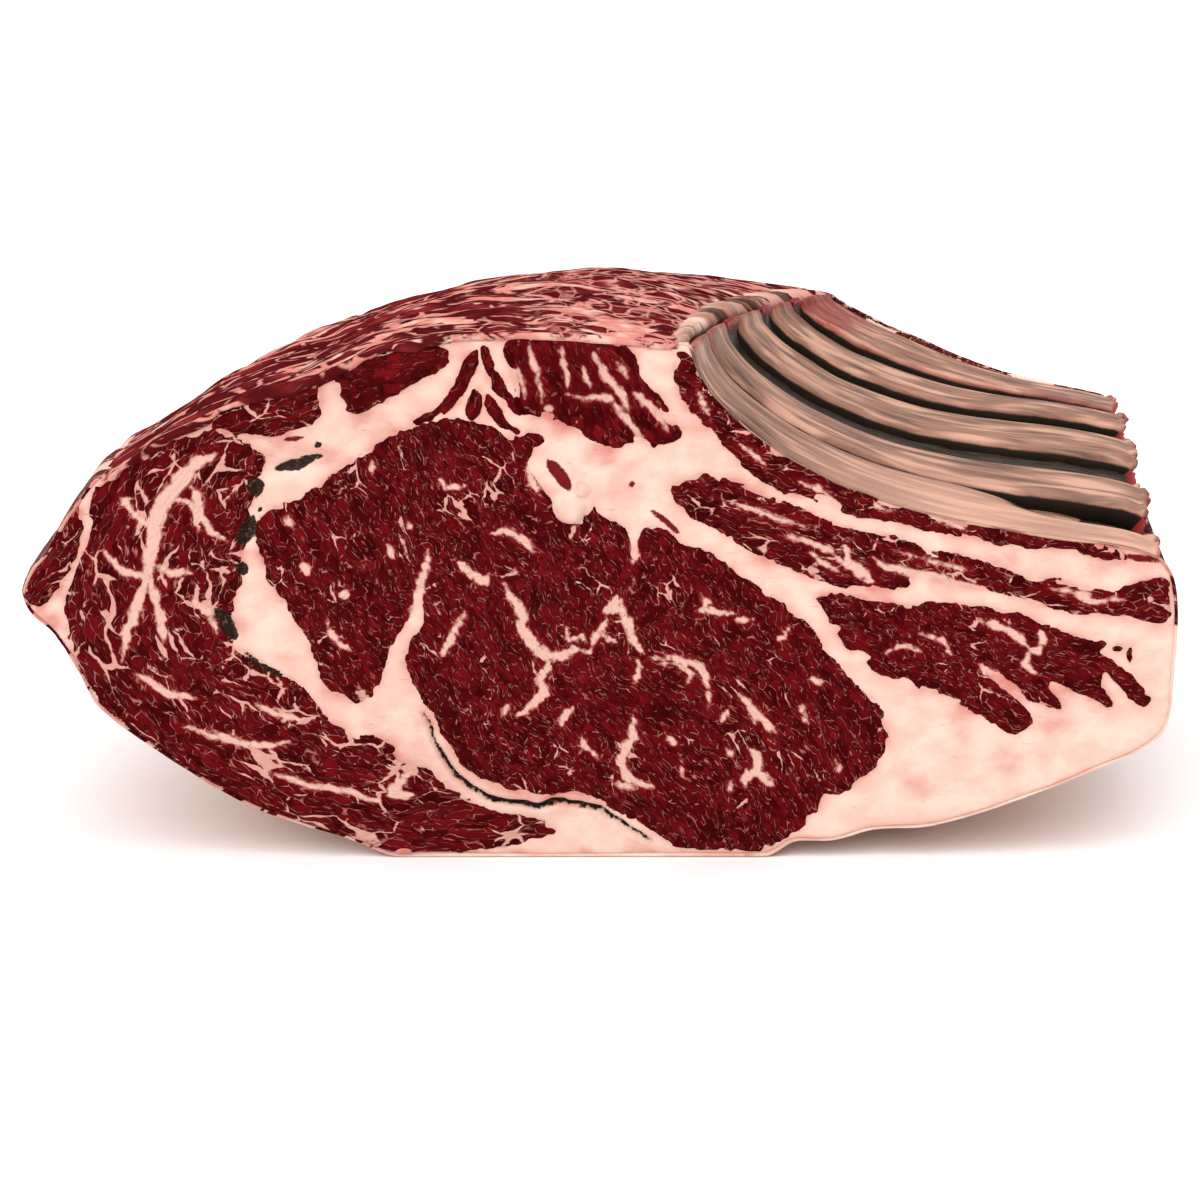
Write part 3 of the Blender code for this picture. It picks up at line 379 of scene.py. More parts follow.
# For each muscle: richness of the marbling, the way the fibres run in degrees
# from +X, how far the veins lie below the lobes, how far the muscle bulges,
# and the size of the grain.
FLESH = {
    "eye_muscle": (0.38, -54.0, 0.25, 0.3, 1.0),
    "cap_muscle": (0.69, 0.0, 0.5, 0.2, 1.35),
    "tip_muscle": (0.5, 50.0, 0.8, 0.8, 1.1),
    "shoulder_muscle_1": (0.60, 18.0, 0.9, 1.6, 1.2),
    "shoulder_muscle_2": (0.1, 26.0, 0.9, 1.9, 1.2),
    "seam_sliver_1": (0.1, 50.0, 0.6, 0.9, 1.0),
    "seam_sliver_2": (0.05, -65.0, 0.6, 0.7, 1.0),
    "seam_sliver_3": (0.05, 80.0, 0.6, 0.7, 1.0),
    "seam_sliver_4": (0.05, -60.0, 0.6, 0.7, 1.0),
    "top_muscle": (0.03, -56.0, 1.5, 1.2, 1.3),
    "middle_strip": (0.55, -18.0, 0.7, 0.4, 1.15),
    "flank_muscle": (0.34, -24.0, 0.6, 0.3, 1.0),
    "flank_spot_1": (0.2, 0.0, 0.5, 0.5, 1.0),
    "flank_spot_2": (0.2, 0.0, 0.5, 0.5, 1.0),
    "rib_strip": (0.5, -22.0, 0.9, 0.6, 1.1),
}

# Dark dried marks on the cut: width, then points along the line.
DARK_MARKS = (
    (3.2, (-93, 116.5), (-86, 118), (-79, 120.5)),
    (2.0, (-81, 123.5), (-79.5, 124)),
    (4.2, (-98, 114), (-98, 108)),
    (2.0, (-97.5, 104.5), (-96.5, 103.8)),
    (4.2, (-99, 102), (-101, 97), (-102.5, 94)),
    (3.4, (-102, 88.5), (-102.3, 85)),
    (4.0, (-110, 75), (-107, 70), (-104, 66)),
    (1.5, (-102, 62), (-97, 58), (-91, 55)),
)
# The crevice below the eye muscle: a groove whose near-black colour is painted shade, laid on with the dried
# marks.
CREVICE_LINE = (
    (-51, 44), (-49, 39.5), (-47.4, 35), (-46.4, 31.5), (-43.8, 27.3), (-41, 24),
    (-37.5, 21.2), (-33.5, 18.9), (-29.5, 17.6), (-23.5, 16.4), (-18, 15.8), (-10, 17.3),
    (0, 14.4), (5, 11.8), (10, 8.4), (15, 5.2),
)
CREVICE_WIDTH = 1.3

# Bits of lean that lie in the fat of the cut.
LEAN_BITS = (
    (2.2, (147, 97.5), (151, 95.6), (154, 93.5)),
    (1.6, (153, 98), (157, 95), (159, 92)),
    (1.6, (150, 91), (155, 89.8), (160, 88.6)),
    (1.2, (140, 97.6), (145, 96.4)),
    (3.4, (-15, 119), (-12, 115), (-8.5, 110)),
    (1.8, (15, 104), (19, 100.5), (23, 97)),
    (1.8, (9, 112.6), (9.4, 111)),
    (1.2, (-90, 124.8), (-84, 126)),
)

# Raised lumps of fat on the cut: x, z, radius, height.
LUMPS = (
    (-9.0, 104.5, 4.6, 1.5),
    (-5.0, 110.0, 1.8, 0.8),
    (142.5, 93.8, 1.8, 0.7),
    (146.0, 92.0, 1.6, 0.7),
    (-57.0, 1.6, 3.0, 0.8),
)

# Ribs: front edge and back edge, measured back from the front cut.
RIB_EDGES = ((1.2, 30.0), (36.0, 61.0), (75.0, 104.0), (113.0, 137.0), (144.5, 176.4))
MEMBRANE_EDGE = 35.4
MEMBRANE_END = 0.56
RIB_THICKNESS = 8.4
RIB_OVERLAP = 0.6
# RIB_LOWEST: the lowest depth counted, at which the finish paints the rib fully dark as shade.
RIB_LOWEST = 5.0
RIB_END = 0.972
RIB_STATIONS = 170
RIB_TOP_POINTS = 40
RIB_SIDE_LENGTH = 170.0
RIB_PATTERN = 7.0
GROOVE_DEPTH = 4.6
FIRST_GROOVE_DEPTH = 7.4
GROOVE_END = 0.970
GROOVE_STATIONS = 140
GROOVE_TOP_POINTS = 16
GROOVE_PATTERN = 9.0

# The bed of the ribs: its depth, the distances back between which it drops
# and rises, how low its rims lie, and how much further in the shell returns.
# The top layer: where the skin gives way at both rims, how thick the layer
# is, and how far back from the rims its inner side stays.
BED_DEPTH = 9.6
BED_RIMS = (5.4, 6.4, 173.6, 174.6)
RIB_RIM_DEPTH = 0.7
SHELL_UNDER_RIBS = 12.0
LAYER_RIM = 2.9
LAYER_THICKNESS = 3.6
LAYER_INNER_RIM = 4.6

# Finishes and stage. Lengths of the stage are metres, angles are degrees.
OUTSIDE_RICHNESS = 0.7
GLOW_RADIUS = (1.0, 0.35, 0.2)
GLOW_SCALE = 0.002
CAMERA_TARGET = (0.0, -0.090, 0.078)
CAMERA_DISTANCE = 1.5
CAMERA_RISE = 15.5
CAMERA_LENS = 157.35
CAMERA_SENSOR = 36.0
LIGHT_TARGET = (0.0, 0.0, 0.05)
FLOOR_HALF = 6.0


def closed_spline(rows, count):
    """Pass a smooth closed curve through the rows and sample it evenly by row."""
    keys = np.array(rows, dtype=float)
    total = len(keys)
    place = np.linspace(0.0, total, count, endpoint=False)
    index = np.floor(place).astype(int)
    part = (place - index)[:, None]
    before = keys[(index - 1) % total]
    start = keys[index % total]
    end = keys[(index + 1) % total]
    after = keys[(index + 2) % total]
    linear = (end - before) * part
    square = (2.0 * before - 5.0 * start + 4.0 * end - after) * part ** 2
    cube = (3.0 * start - before - 3.0 * end + after) * part ** 3
    return place, start + 0.5 * (linear + square + cube)


PLACE, FINE = closed_spline(OUTLINE, FINE_COUNT)
FINE[:, 1] = np.maximum(FINE[:, 1], 0.0)
FINE_ANGLE = np.unwrap(np.arctan2(FINE[:, 1] - CENTRE_Z, FINE[:, 0] - CENTRE_X))


def smooth(low, high, value):
    """Smooth step: nothing below low, one above high, an S curve between."""
    part = np.clip((value - low) / (high - low), 0.0, 1.0)
    return part * part * (3.0 - 2.0 * part)


def window(value, rise, full, fall, gone):
    """A smooth rise between two values, one after it, and a smooth fall between two more."""
    return smooth(rise, full, value) * (1.0 - smooth(fall, gone, value))


def lattice(column, row, seed):
    """A repeatable random number from 0 to 1 for each lattice corner."""
    value = np.sin(column * 127.1 + row * 311.7 + seed * 74.7) * 43758.5453
    return value - np.floor(value)


def cloud(across, along, seed):
    """Smooth random field from 0 to 1: corner values blended by an S curve."""
    column, row = np.floor(across), np.floor(along)
    right = smooth(0.0, 1.0, across - column)
    up = smooth(0.0, 1.0, along - row)
    low = lattice(column, row, seed) * (1.0 - right) + lattice(column + 1, row, seed) * right
    high = lattice(column, row + 1, seed) * (1.0 - right) + lattice(column + 1, row + 1, seed) * right
    return low * (1.0 - up) + high * up


def from_centre(x, z):
    """Distance from the centre line of the roast."""
    return np.hypot(x - CENTRE_X, z - CENTRE_Z)


def scaled(x, z, ratio):
    """Points moved out or in along their ray from the centre line."""
    return CENTRE_X + ratio * (x - CENTRE_X), CENTRE_Z + ratio * (z - CENTRE_Z)


def outline_place(x, z):
    """Which place on the outline lies straight out from the centre."""
    angle = np.arctan2(z - CENTRE_Z, x - CENTRE_X)
    start = FINE_ANGLE[0]
    turned = start - np.mod(start - angle, 2.0 * math.pi)
    angles = np.append(-FINE_ANGLE, -FINE_ANGLE[0] + 2.0 * math.pi)
    return np.interp(-turned, angles, np.append(PLACE, ROWS))


def outline_row(place):
    """All columns of the fine outline at the given places."""
    places = np.append(PLACE, ROWS)
    rows = np.vstack([FINE, FINE[:1]])
    wrapped = np.mod(place, ROWS)
    return np.stack([np.interp(wrapped, places, rows[:, column]) for column in range(6)], axis=-1)


def outline_at(place, share):
    """The outline point at a place, for a share of the way to the back."""
    row = outline_row(place)
    share = np.clip(share, 0.0, 1.0)
    moved = share ** row[..., 4]
    rise = RIB_SIDE_RISE * row[..., 5] * np.sin(math.pi * share ** 1.3)
    x = row[..., 0] + row[..., 2] * moved
    z = row[..., 1] + row[..., 3] * moved + rise
    return x, np.maximum(z, 0.0)


def follow(x, z, share):
    """Carry a point of the front cut back: the same share of the reach from the centre."""
    place = outline_place(x, z)
    ratio = from_centre(x, z) / from_centre(*outline_at(place, 0.0 * x))
    far_x, far_z = outline_at(place, share + 0.0 * x)
    return scaled(far_x, far_z, ratio)


def even_places(count):
    """Places spread evenly along the length of the front outline."""
    x, z = FINE[:, 0], FINE[:, 1]
    step = np.hypot(np.diff(x, append=x[0]), np.diff(z, append=z[0]))
    length = np.concatenate([[0.0], np.cumsum(step)])
    wanted = np.linspace(0.0, length[-1], count, endpoint=False)
    return np.interp(wanted, length, np.append(PLACE, ROWS))


def line_gap(x, z, width, points):
    """Distance to a line less half its width; the line thins towards its ends."""
    best = np.full(x.shape, 90.0)
    total = len(points) - 1
    for order in range(total):
        start_x, start_z = points[order]
        run_x, run_z = points[order + 1][0] - start_x, points[order + 1][1] - start_z
        along = ((x - start_x) * run_x + (z - start_z) * run_z) / (run_x ** 2 + run_z ** 2)
        along = np.clip(along, 0.0, 1.0)
        middle = (order + along) / total
        half = 0.5 * width * (1.05 - 0.9 * np.abs(2.0 * middle - 1.0) ** 3)
        away = np.hypot(x - start_x - along * run_x, z - start_z - along * run_z)
        best = np.minimum(best, away - half)
    return best


def lines_gap(x, z, lines):
    """The smallest gap to any of the lines, at most NO_MARK."""
    best = np.full(x.shape, NO_MARK)
    for line in lines:
        spots = np.array(line[1:], dtype=float)
        near = (x > spots[:, 0].min() - LINE_MARGIN) & (x < spots[:, 0].max() + LINE_MARGIN)
        near &= (z > spots[:, 1].min() - LINE_MARGIN) & (z < spots[:, 1].max() + LINE_MARGIN)
        if near.any():
            best[near] = np.minimum(best[near], line_gap(x[near], z[near], line[0], line[1:]))
    return best


def loop_gap(x, z, loop, reach=LOOP_REACH):
    """Distance to a closed outline, negative inside, worked out near it only."""
    found = np.full(x.shape, reach)
    low, high = loop.min(axis=0) - reach, loop.max(axis=0) + reach
    near = (x > low[0]) & (x < high[0]) & (z > low[1]) & (z < high[1])
    px, pz = x[near], z[near]
    best = np.full(px.shape, 1.0e6)
    inside = np.zeros(px.shape, dtype=bool)
    after = np.roll(loop, -1, axis=0)
    for (x0, z0), (x1, z1) in zip(loop, after):
        run_x, run_z = x1 - x0, z1 - z0
        size = run_x ** 2 + run_z ** 2 + 1.0e-12
        along = np.clip(((px - x0) * run_x + (pz - z0) * run_z) / size, 0.0, 1.0)
        best = np.minimum(best, (px - x0 - along * run_x) ** 2 + (pz - z0 - along * run_z) ** 2)
        crosses = (z0 > pz) != (z1 > pz)
        slope = run_x * (pz - z0) / (run_z if abs(run_z) > 1.0e-9 else 1.0e-9)
        inside ^= crosses & (px < x0 + slope)
    found[near] = np.where(inside, -1.0, 1.0) * np.sqrt(best)
    return found


def rounded_loop(points):
    """The outline as a smooth closed curve with a few steps between points."""
    return closed_spline(points, STEPS_BETWEEN * len(points))[1]


BODY_LOOP = FINE[::2, :2]
LOOPS = {name: rounded_loop(points) for name, points in OUTLINES.items()}
STRIP_LOOP = rounded_loop(RIB_STRIP)


def rim_depth(inset):
    """How far a cut surface falls back near the outside: a quarter circle."""
    away = np.clip(EDGE_ROUND - inset, 0.0, EDGE_ROUND)
    return EDGE_ROUND - np.sqrt(EDGE_ROUND ** 2 - away ** 2)


def swell(x, z, side):
    """Broad unevenness of a cut, the same for every piece on it."""
    seed = 11.0 + side
    return 0.55 * cloud(x / 34.0, z / 27.0, seed) + 0.3 * cloud(x / 11.0, z / 9.0, seed + 3)


def fibre_way(name, x, z):
    """Coordinates along and across the fibres of a muscle, in millimetres."""
    if name == "cap_muscle":
        middle_x, middle_z = CAP_MIDDLE
        high = CAP_STRETCH * (z - middle_z)
        return np.arctan2(high, middle_x - x) * CAP_RADIUS, np.hypot(x - middle_x, high)
    angle = math.radians(FLESH[name][1])
    bend_x = x + FIBRE_BEND * cloud(x / 38.0, z / 30.0, 5.0)
    bend_z = z + FIBRE_BEND * cloud(x / 33.0, z / 41.0, 6.0)
    along = bend_x * math.cos(angle) + bend_z * math.sin(angle)
    across = -bend_x * math.sin(angle) + bend_z * math.cos(angle)
    return along, across


def wobble(x, z, side):
    """Shift points a little so that painted lines wander; more at the back cut."""
    reach = 1.1 if side == 0 else 5.0
    size = 4.5 if side == 0 else 12.0
    shift_x = reach * (cloud(x / size, z / size, 21.0 + side) - 0.5)
    shift_z = reach * (cloud(x / size, z / size, 23.0 + side) - 0.5)
    return x + shift_x, z + shift_z


def rim_start(x, z):
    """How far inside the outline a cut begins: further in under the top layer."""
    place = outline_place(x, z)
    under = window(place, KEY_LEFT_LAYER - 0.1, KEY_LEFT_LAYER + 0.3, KEY_CREST - 0.8, KEY_CREST - 0.4)
    return RIM_INSET + LAYER_INSET * under


def rim_fall(inset):
    """How far a cut lies behind its plane at the rim: the round edge and a small step."""
    return rim_depth(inset) + 0.7 * (1.0 - smooth(0.5, 1.7, inset))


def dark_gap(x, z):
    """Gap to the nearest dried mark or to the crevice, and the gap to the crevice alone; the crevice's near
    black is painted shade.
    """
    crevice = line_gap(x, z, CREVICE_WIDTH, CREVICE_LINE)
    return np.minimum(lines_gap(x, z, DARK_MARKS), crevice), crevice


def lean_cut(name, x, z, loop, side):
    """Depth and finish fields of one muscle on a cut.

    Depth is a shallow pillow that falls away at the ragged edge, plus low
    ridges of the bundles that run along the fibres.
    """
    along, across = fibre_way(name, x, z)
    rich, _, lobe, bulge, grain = FLESH[name]
    seed = LEAN_SEED + SIDE_SEED * side
    near_x, near_z = wobble(x, z, side)
    rag = 1.5 * (cloud(along / 4.6, across / 1.7, seed) - 0.5)
    rag += 0.9 * (cloud(x / 1.5, z / 1.5, seed + 1) - 0.5)
    edge = -(loop_gap(x, z, loop) + rag)
    vein = lines_gap(near_x, near_z, VEINS.get(name, ()))
    bundle = cloud(along / 6.5, across / 2.1, seed + 2)
    fine = cloud(along / 2.4, across / 0.9, seed + 4)
    relief = (0.42 * bundle + 0.2 * fine) * (0.5 + 0.5 * smooth(0.0, 1.5, vein))
    relief += lobe * (1.0 - smooth(-0.6, 2.6, vein)) - bulge * smooth(0.0, 4.5, edge)
    inset = -loop_gap(x, z, BODY_LOOP, RIM_REACH)
    depth = 0.25 + relief + 0.5 * np.exp(-np.maximum(edge, 0.0) / 1.4)
    depth += 1.5 * np.maximum(-edge, 0.0) + rim_fall(inset)
    # Dark field: the dried marks, and the crevice, whose near black is painted shade.
    dark = np.full(x.shape, NO_MARK) if side else dark_gap(near_x, near_z)[0]
    depth += 0.9 * (1.0 - smooth(-0.6, 0.5, dark))
    return {
        "depth": depth + swell(x, z, side),
        "edge": edge,
        "inset": inset,
        "vein": vein,
        "dark": dark,
        "rich": rich + 0.25 * (cloud(x / 16.0, z / 16.0, 41.0) - 0.5),
        "fibre": np.stack([along, across, np.full(x.shape, BACK_PATTERN * side)], axis=-1) / grain,
    }


def nearest_lean(x, z):
    """Gap to the nearest muscle outline and to the nearest one that runs through."""
    through = np.full(x.shape, LOOP_REACH)
    for loop in LOOPS.values():
        through = np.minimum(through, loop_gap(x, z, loop))
    return np.minimum(through, loop_gap(x, z, STRIP_LOOP)), through


def lump_depth(x, z):
    """Domes of the raised lumps, each with a shallow moat round it."""
    depth = np.zeros(x.shape)
    for lump_x, lump_z, radius, height in LUMPS:
        away = np.hypot(x - lump_x, z - lump_z) / radius
        depth -= height * np.sqrt(np.clip(1.0 - away ** 2, 0.0, 1.0))
        depth += 0.5 * np.exp(-((away - 1.15) / 0.22) ** 2)
    return depth


def fat_blush(x, z, gap, inset, seed):
    """How red the fat is: beside the lean, in clouds, and at the stained ends and rims."""
    stain = cloud(x / 4.0, z / 6.0, seed + 6)
    blush = 0.55 * np.exp(-np.maximum(gap, 0.0) / 1.3)
    blush += 0.5 * smooth(0.62, 0.9, cloud(x / 13.0, z / 10.0, seed + 5))
    blush += 0.9 * smooth(138.0, 156.0, x) * smooth(84.0, 94.0, z)
    blush += 0.35 * smooth(12.0, 0.0, np.hypot(x - 8.0, z - 112.0))
    blush += 0.75 * smooth(-143.0, -156.0, x) * smooth(0.3, 0.7, stain)
    blush += 0.7 * (1.0 - smooth(1.5, 5.0, inset)) * smooth(0.35, 0.75, stain) * smooth(40.0, -20.0, x)
    return np.clip(blush, 0.0, 1.0)


def fat_cut(x, z, side, gap):
    """Depth and finish fields of the fat on a cut.

    Depth is smooth, dips towards each muscle edge, sinks under the muscle,
    and has pits at the dark marks and the crevice and domes at the lumps.
    """
    seed = FAT_SEED + SIDE_SEED * side
    near_x, near_z = wobble(x, z, side)
    inset = -loop_gap(x, z, BODY_LOOP, RIM_REACH)
    depth = 0.55 + 0.3 * np.exp(-np.maximum(gap, 0.0) / 2.2)
    depth += 0.35 * cloud(x / 6.0, z / 5.0, seed) + 0.14 * cloud(x / 1.9, z / 1.7, seed + 1)
    depth += 1.2 * np.clip(-gap - 1.6, 0.0, 1.6) + rim_fall(inset)
    dark = bits = np.full(x.shape, NO_MARK)
    if side == 0:
        # Dark field: the dried marks, and the crevice, a pit painted near black as shade.
        dark, crevice = dark_gap(near_x, near_z)
        bits = lines_gap(near_x, near_z, LEAN_BITS)
        depth += 3.2 * (1.0 - smooth(-0.6, 0.7, crevice)) + 0.9 * (1.0 - smooth(-1.0, 0.8, dark))
        depth += lump_depth(x, z)
    return {
        "depth": depth + swell(x, z, side),
        "inset": inset,
        "dark": dark,
        "bits": bits,
        "blush": fat_blush(x, z, gap, inset, seed),
        "fibre": np.stack([x, z, np.full(x.shape, BACK_PATTERN * side)], axis=-1),
    }


def fill_corners(keep):
    """Fill cells until no two kept cells touch only at a corner."""
    for _ in range(12):
        a, b = keep[:-1, :-1], keep[:-1, 1:]
        c, d = keep[1:, :-1], keep[1:, 1:]
        rising = b & c & ~a & ~d
        falling = a & d & ~b & ~c
        if not (rising.any() or falling.any()):
            break
        keep[:-1, :-1] |= rising
        keep[:-1, 1:] |= falling
    return keep


def largest_part(keep, seed_mask):
    """Grow from a seed inside the kept cells, so that loose cells are dropped."""
    grown = keep & seed_mask
    while True:
        wider = grown.copy()
        wider[1:] |= grown[:-1]
        wider[:-1] |= grown[1:]
        wider[:, 1:] |= grown[:, :-1]
        wider[:, :-1] |= grown[:, 1:]
        wider &= keep
        if (wider == grown).all():
            return grown
        grown = wider


def cell_faces(keep):
    """Vertex numbers, cell quads and border edges of the kept cells of a grid."""
    used = np.zeros((keep.shape[0] + 1, keep.shape[1] + 1), dtype=bool)
    for down in (0, 1):
        for right in (0, 1):
            rows = slice(down, down + keep.shape[0])
            used[rows, right:right + keep.shape[1]] |= keep
    number = np.full(used.shape, -1)
    number[used] = np.arange(int(used.sum()))
    row, column = np.nonzero(keep)
    quads = np.stack([
        number[row, column], number[row, column + 1],
        number[row + 1, column + 1], number[row + 1, column],
    ], axis=1)
    wide = np.pad(keep, 1)
    borders = []
    for (shift_row, shift_column), (first, second) in (
        ((-1, 0), (0, 1)), ((0, 1), (1, 2)), ((1, 0), (2, 3)), ((0, -1), (3, 0)),
    ):
        lone = ~wide[row + 1 + shift_row, column + 1 + shift_column]
        borders.append(np.stack([quads[lone, first], quads[lone, second]], axis=1))
    return used, quads, np.vstack(borders)


def layered_body(layers, quads, borders):
    """Close a stack of equal point layers: cells on both ends, walls between."""
    count = len(layers[0])
    faces = [quads]
    for level in range(len(layers) - 1):
        here, there = level * count, (level + 1) * count
        faces.append(np.stack([
            borders[:, 1] + here, borders[:, 0] + here,
            borders[:, 0] + there, borders[:, 1] + there,
        ], axis=1))
    faces.append(quads[:, ::-1] + (len(layers) - 1) * count)
    return np.vstack(layers), np.vstack(faces)


def drop_unused(points, faces, fields):
    """Leave out points that no face uses."""
    used = np.zeros(len(points), dtype=bool)
    used[faces.ravel()] = True
    number = np.cumsum(used) - 1
    return points[used], number[faces], {name: values[used] for name, values in fields.items()}


def make_piece(name, points, quads, fields, finish, stands_for, triangles=None):
    """Put points in millimetres, faces and fields into a closed mesh object."""
    points = np.asarray(points, dtype=float)
    corners = quads[:, (0, 1, 2, 0, 2, 3)].reshape(-1, 3)
    if triangles is not None:
        corners = np.vstack([corners, triangles])
    a, b, c = (points[corners[:, side]] for side in range(3))
    volume = np.einsum("ij,ij->i", a, np.cross(b, c)).sum()
    if volume < 0.0:
        quads = quads[:, ::-1]
        triangles = None if triangles is None else triangles[:, ::-1]
    faces = [quads.ravel()]
    sizes = np.full(len(quads), 4)
    if triangles is not None:
        faces.append(triangles.ravel())
        sizes = np.concatenate([sizes, np.full(len(triangles), 3)])
    corners = np.concatenate(faces)
    mesh = bpy.data.meshes.new(name)
    mesh.vertices.add(len(points))
    mesh.vertices.foreach_set("co", (points * MM).astype(np.float32).ravel())
    mesh.loops.add(len(corners))
    mesh.loops.foreach_set("vertex_index", corners.astype(np.int32))
    mesh.polygons.add(len(sizes))
    starts = np.concatenate([[0], np.cumsum(sizes)[:-1]])
    mesh.polygons.foreach_set("loop_start", starts.astype(np.int32))
    mesh.update(calc_edges=True)
    if mesh.validate():
        raise RuntimeError(name + " has broken faces")
    mesh.polygons.foreach_set("use_smooth", np.ones(len(sizes), dtype=bool))
    for field, values in fields.items():
        kind = "FLOAT_VECTOR" if values.ndim == 2 else "FLOAT"
        made = mesh.attributes.new(field, kind, "POINT")
        made.data.foreach_set("vector" if values.ndim == 2 else "value", values.astype(np.float32).ravel())
    mesh.materials.append(finish)
    thing = bpy.data.objects.new(name, mesh)
    bpy.context.scene.collection.objects.link(thing)
    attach(thing, "root")
    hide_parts(*stands_for)
    return thing


def gather(front, back, used, levels, middle_fields):
    """Join the fields of the front and back cuts, with walls taking the front's."""
    joined = {}
    for field in middle_fields:
        parts = [front[field][used]] * (levels - 1) + [back[field][used]]
        joined[field] = np.concatenate(parts)
    return joined


def loop_grid(loop, margin, pitch):
    """A square grid of points over a loop and a margin round it."""
    low, high = loop.min(axis=0) - margin, loop.max(axis=0) + margin
    return np.meshgrid(np.arange(low[0], high[0], pitch), np.arange(low[1], high[1], pitch))


def kept_cells(shown, core):
    """Faces of the grid cells that have four shown corners and hang together with the core."""
    keep = shown[:-1, :-1] & shown[1:, :-1] & shown[:-1, 1:] & shown[1:, 1:]
    return cell_faces(fill_corners(largest_part(keep, core[:-1, :-1])))


def make_muscle(name, pitch, finish):
    """One muscle from cut to cut: two marbled cuts joined by a straight wall."""
    loop = LOOPS[name]
    x, z = loop_grid(loop, LEAN_MARGIN, pitch)
    front, back = (lean_cut(name, x, z, loop, side) for side in (0, 1))
    shown = (np.maximum(front["edge"], back["edge"]) > -LEAN_SKIRT) & (front["inset"] > rim_start(x, z))
    used, quads, borders = kept_cells(shown, loop_gap(x, z, loop) < -0.3)
    x, z = x[used], z[used]
    far_x, far_z = follow(x, z, 1.0)
    layers = [
        np.stack([x, FRONT_Y + front["depth"][used], z], axis=1),
        np.stack([far_x, BACK_Y - back["depth"][used], far_z], axis=1),
    ]
    points, faces = layered_body(layers, quads, borders)
    fields = gather(front, back, used, 2, LEAN_FIELDS)
    return make_piece(name + "_cut", points, faces, fields, finish, [name])


def make_strip(side, pitch, finish):
    """The thin strip of lean beside the ribs, at one of the two cuts."""
    name = ("rib_strip_front", "rib_strip_back")[side]
    x, z = loop_grid(STRIP_LOOP, LEAN_MARGIN, pitch)
    cut = lean_cut("rib_strip", x, z, STRIP_LOOP, side)
    shown = (cut["edge"] > -LEAN_SKIRT) & (cut["inset"] > rim_start(x, z))
    used, quads, borders = kept_cells(shown, loop_gap(x, z, STRIP_LOOP) < -0.5)
    x, z = x[used], z[used]
    depth = cut["depth"][used]
    inner = np.maximum(depth + 0.8, STRIP_DEPTH)
    levels = (FRONT_Y + depth, FRONT_Y + inner)
    if side:
        x, z = follow(x, z, 1.0)
        levels = (BACK_Y - inner, BACK_Y - depth)
    layers = [np.stack([x, y, z], axis=1) for y in levels]
    points, faces = layered_body(layers, quads, borders)
    fields = gather(cut, cut, used, 2, LEAN_FIELDS)
    return make_piece(name + "_cut", points, faces, fields, finish, [name])


def rib_side_share(place):
    """One along the rib side of the outline, nothing elsewhere."""
    return window(place, KEY_CREST - 0.2, KEY_CREST + 0.6, KEY_RIB_END + 1.0, KEY_RIB_END + 3.0)


def below_skin(x, z):
    """Points of the cut pulled in under the skin, and deep in under the ribs."""
    place = outline_place(x, z)
    reach = from_centre(*outline_at(place, 0.0 * x))
    ratio = from_centre(x, z) / reach
    bedded = window(place, KEY_CREST - 0.9, KEY_CREST - 0.1, KEY_RIB_END + 1.0, KEY_RIB_END + 3.0)
    limit = 1.0 - (CORE_INSET + CORE_SINK * bedded) / reach
    x, z = scaled(x, z, np.minimum(ratio, limit) / np.maximum(ratio, 0.001))
    by_ends = smooth(KEY_RIB_END - 3.5, KEY_RIB_END - 1.5, place) * smooth(0.5, 0.9, ratio)
    return x, z - CORE_DROP * bedded * by_ends


def make_fat_core(pitch, finish):
    """The fat of both cuts and between the muscles, hollow where they run."""
    x, z = loop_grid(BODY_LOOP, 0.0, pitch)
    gap, through = nearest_lean(x, z)
    front, back = (fat_cut(x, z, side, gap) for side in (0, 1))
    shown = (through > -FAT_UNDERLAP) & (front["inset"] > rim_start(x, z))
    used, quads, borders = kept_cells(shown, (through > 0.5) & (front["inset"] > 1.0))
    x, z = x[used], z[used]
    low_x, low_z = below_skin(x, z)
    layers = []
    for at_x, at_z, share, depth in (
        (x, z, 0.0, front["depth"][used]),
        (low_x, low_z, CORE_START, 0.0),
        (low_x, low_z, 1.0 - CORE_START, 0.0),
        (x, z, 1.0, -back["depth"][used]),
    ):
        far_x, far_z = follow(at_x, at_z, share)
        y = FRONT_Y + share * DEPTH + depth + 0.0 * x
        layers.append(np.stack([far_x, y, far_z], axis=1))
    points, faces = layered_body(layers, quads, borders)
    fields = gather(front, back, used, len(layers), ("dark", "bits", "blush", "fibre"))
    points, faces, fields = drop_unused(points, faces, fields)
    return make_piece("fat_cut", points, faces, fields, finish, ["fat_body"])


def outline_normal(place, share):
    """Outward direction of the outline at a place."""
    ahead_x, ahead_z = outline_at(place + 0.05, share)
    behind_x, behind_z = outline_at(place - 0.05, share)
    run_x, run_z = ahead_x - behind_x, ahead_z - behind_z
    size = np.hypot(run_x, run_z) + 1.0e-9
    return -run_z / size, run_x / size


def side_swell(place, share):
    """Low swells of the outside, kept off the base and the rib side."""
    row = outline_row(place)
    above = np.clip((row[..., 1] - 30.0) / 30.0, 0.0, 1.0)
    off_ribs = np.clip((25.0 - row[..., 0]) / 20.0, 0.0, 1.0)
    wave = np.sin(place * 1.7 + share * 9.0) * np.sin(share * 21.0 + place * 0.6)
    return 0.9 * wave * above * off_ribs * np.sin(math.pi * share)


